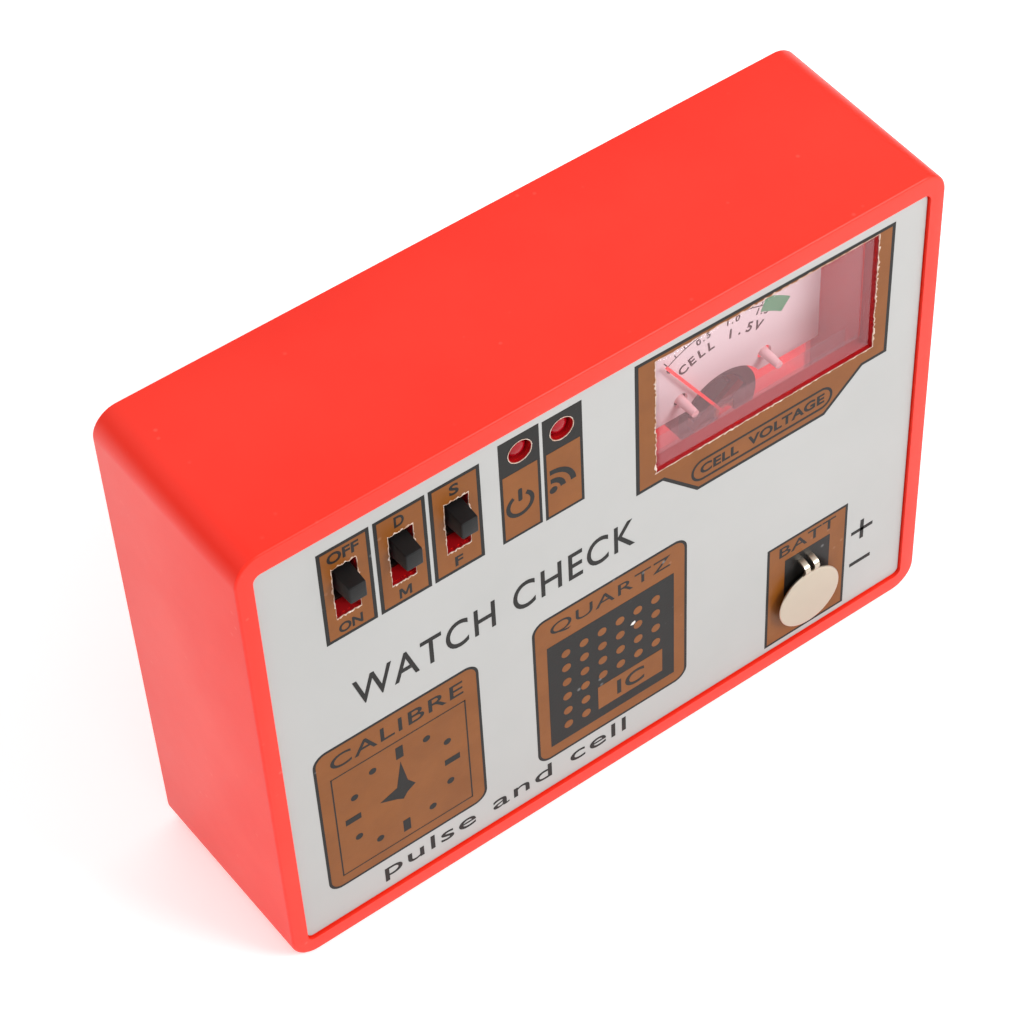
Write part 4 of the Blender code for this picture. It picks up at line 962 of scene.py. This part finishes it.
# ---------------------------------------------------------------- back

def cover_screw(index, node):
    """A slotted pan head on its shank."""
    low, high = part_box(node)
    middle = Vector(((low.x + high.x) / 2, low.y, (low.z + high.z) / 2))
    length, head = high.y - low.y, (high.x - low.x) / 2
    under = length - 1.1 * MM
    shank = 1.2 * MM
    profile = [
        (0, 0), (shank * 0.6, 0), (shank, 0.6 * MM), (shank, under),
        (head, under), (head, length - 0.45 * MM), (head - 0.15 * MM, length - 0.2 * MM),
        (head - 0.6 * MM, length - 0.04 * MM), (0, length),
    ]
    screw = solid(turned(profile, middle, steps=64), f"screw_{index}")
    across, floor = 0.3 * MM, high.y - 0.6 * MM
    slot = solid(block(
        (low.x - MM, floor, middle.z - across), (high.x + MM, high.y + MM, middle.z + across)
    ))
    carve(screw, [slot])
    discard([slot])
    settle(screw, "case", ZINC, (node,))


def dress(node, material):
    """Gives a node of the frame that shows as it is its finish."""
    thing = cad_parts[node]
    thing.data.materials.clear()
    thing.data.materials.append(material)


# ---------------------------------------------------------------- light and camera

def camera():
    """Looks down on the panel from the upper left, close enough for its sides to draw together."""
    place = Vector((-0.160844, -0.230535, 0.359097))
    aim = Vector((-0.015379, -0.014, 0.06443))
    data = bpy.data.cameras.new("camera")
    data.sensor_width = 36.0
    data.lens = 109.68
    data.clip_start = 0.01
    eye = bpy.data.objects.new("camera", data)
    look = (aim - place).to_track_quat("-Z", "Y")
    eye.rotation_mode = "QUATERNION"
    eye.rotation_quaternion = look @ Quaternion((0, 0, 1), radians(-3.375))
    eye.location = place
    bpy.context.scene.collection.objects.link(eye)
    bpy.context.scene.camera = eye


def soft_light(name, place, aim, size, power):
    data = bpy.data.lights.new(name, "AREA")
    data.shape = "DISK"
    data.size = size
    data.energy = power
    lamp = bpy.data.objects.new(name, data)
    lamp.location = place
    lamp.rotation_euler = (Vector(aim) - Vector(place)).to_track_quat("-Z", "Y").to_euler()
    bpy.context.scene.collection.objects.link(lamp)


def studio():
    world = bpy.data.worlds.new("studio")
    world.use_nodes = True
    tree = world.node_tree
    sky = tree.nodes["Background"]
    sky.inputs["Color"].default_value = (1.0, 1.0, 1.0, 1.0)
    place = tree.nodes.new("ShaderNodeTexCoord")
    parts = tree.nodes.new("ShaderNodeSeparateXYZ")
    wire(tree, place.outputs["Generated"], parts.inputs["Vector"])
    rising = span(tree, parts.outputs["Z"], 0.3, 0.6, 0.3, 1.2)
    falling = span(tree, parts.outputs["Z"], 0.82, 0.96, 1.0, 0.45)
    wire(tree, maths(tree, "MULTIPLY", rising, falling), sky.inputs["Strength"])
    bpy.context.scene.world = world
    bpy.context.scene.view_settings.view_transform = "Standard"
    soft_light("key", (0.35, -0.55, 0.45), (0, 0, 0.04), 0.35, 3.6)
    mesh = bmesh.new()
    bmesh.ops.create_grid(mesh, x_segments=1, y_segments=1, size=6.0)
    floor = solid(mesh, "floor")
    paper = finish(
        "floor_paper", (0.93, 0.93, 0.93), (0.925, 0.925, 0.925), roughness=0.9, grain_height=0,
        emission=(1.0, 1.0, 1.0, 0.3),
    )
    floor.data.materials.append(paper)


DRESSED = {
    RED: ("back_cover", "battery_door"),
    STEEL: ("switch_frame_1", "switch_frame_2", "switch_frame_3", "meter_rear_pivot"),
    PHENOLIC: ("switch_base_1", "switch_base_2", "switch_base_3", "pickup_bobbin"),
    PINK_WITH_PAINTED_GLOW: ("meter_base",),
    SCALE: ("meter_scale",),
    PIN: ("scale_pin_left", "scale_pin_right"),
    NEEDLE_PAINTED_GLOW: ("meter_pointer",),
    IRON: ("meter_magnet", "pickup_core"),
    WINDING: ("meter_coil", "pickup_winding"),
    BRASS: (
        "meter_hairspring", "meter_bridge", "meter_terminal_1", "meter_terminal_2",
        "piezo_plate", "trimmer_rotor",
    ),
    NICKEL: ("cell_pad", "cell_contact_tail"),
    ZINC: ("board_screw_1", "board_screw_2", "board_screw_3"),
    LAMINATE: ("circuit_board",),
    CERAMIC: ("piezo_ceramic",),
    CHIP: ("timing_chip",),
    SLEEVE: ("capacitor_1", "capacitor_2"),
    TRIMMER: ("trimmer_base",),
    JACKET: ("battery",),
    SNAP: ("battery_snap",),
    WIRE_RED: ("lead_red",),
    WIRE_BLACK: ("lead_black",),
}

camera()
studio()
for material, nodes in DRESSED.items():
    for node in nodes:
        dress(node, material)
case()
holes = panel_holes()
cutters = {name: hole_cutter(x, z, places) for name, (x, z, places, lip, scatter) in holes.items()}
label(list(cutters.values()))
switch_badges(cutters)
lamp_badges(cutters)
meter_badge(cutters)
movement_badge()
pickup_badge()
cell_badge()
headlines()
discard(cutters.values())
for name, (x, z, places, lip, scatter) in holes.items():
    torn_edge(f"torn_edge_{name}", x, z, places, float(len(name)), lip, scatter)
for index, x in enumerate(SWITCH_X, 1):
    switch_knob(index, x)
for name, (x, z) in zip(("lamp_power", "lamp_signal"), LAMP_PLACES):
    lamp(name, x, z)
meter_cover()
scale_print()
cell_contact()
for index in range(1, 5):
    cover_screw(index, f"cover_screw_{index}")
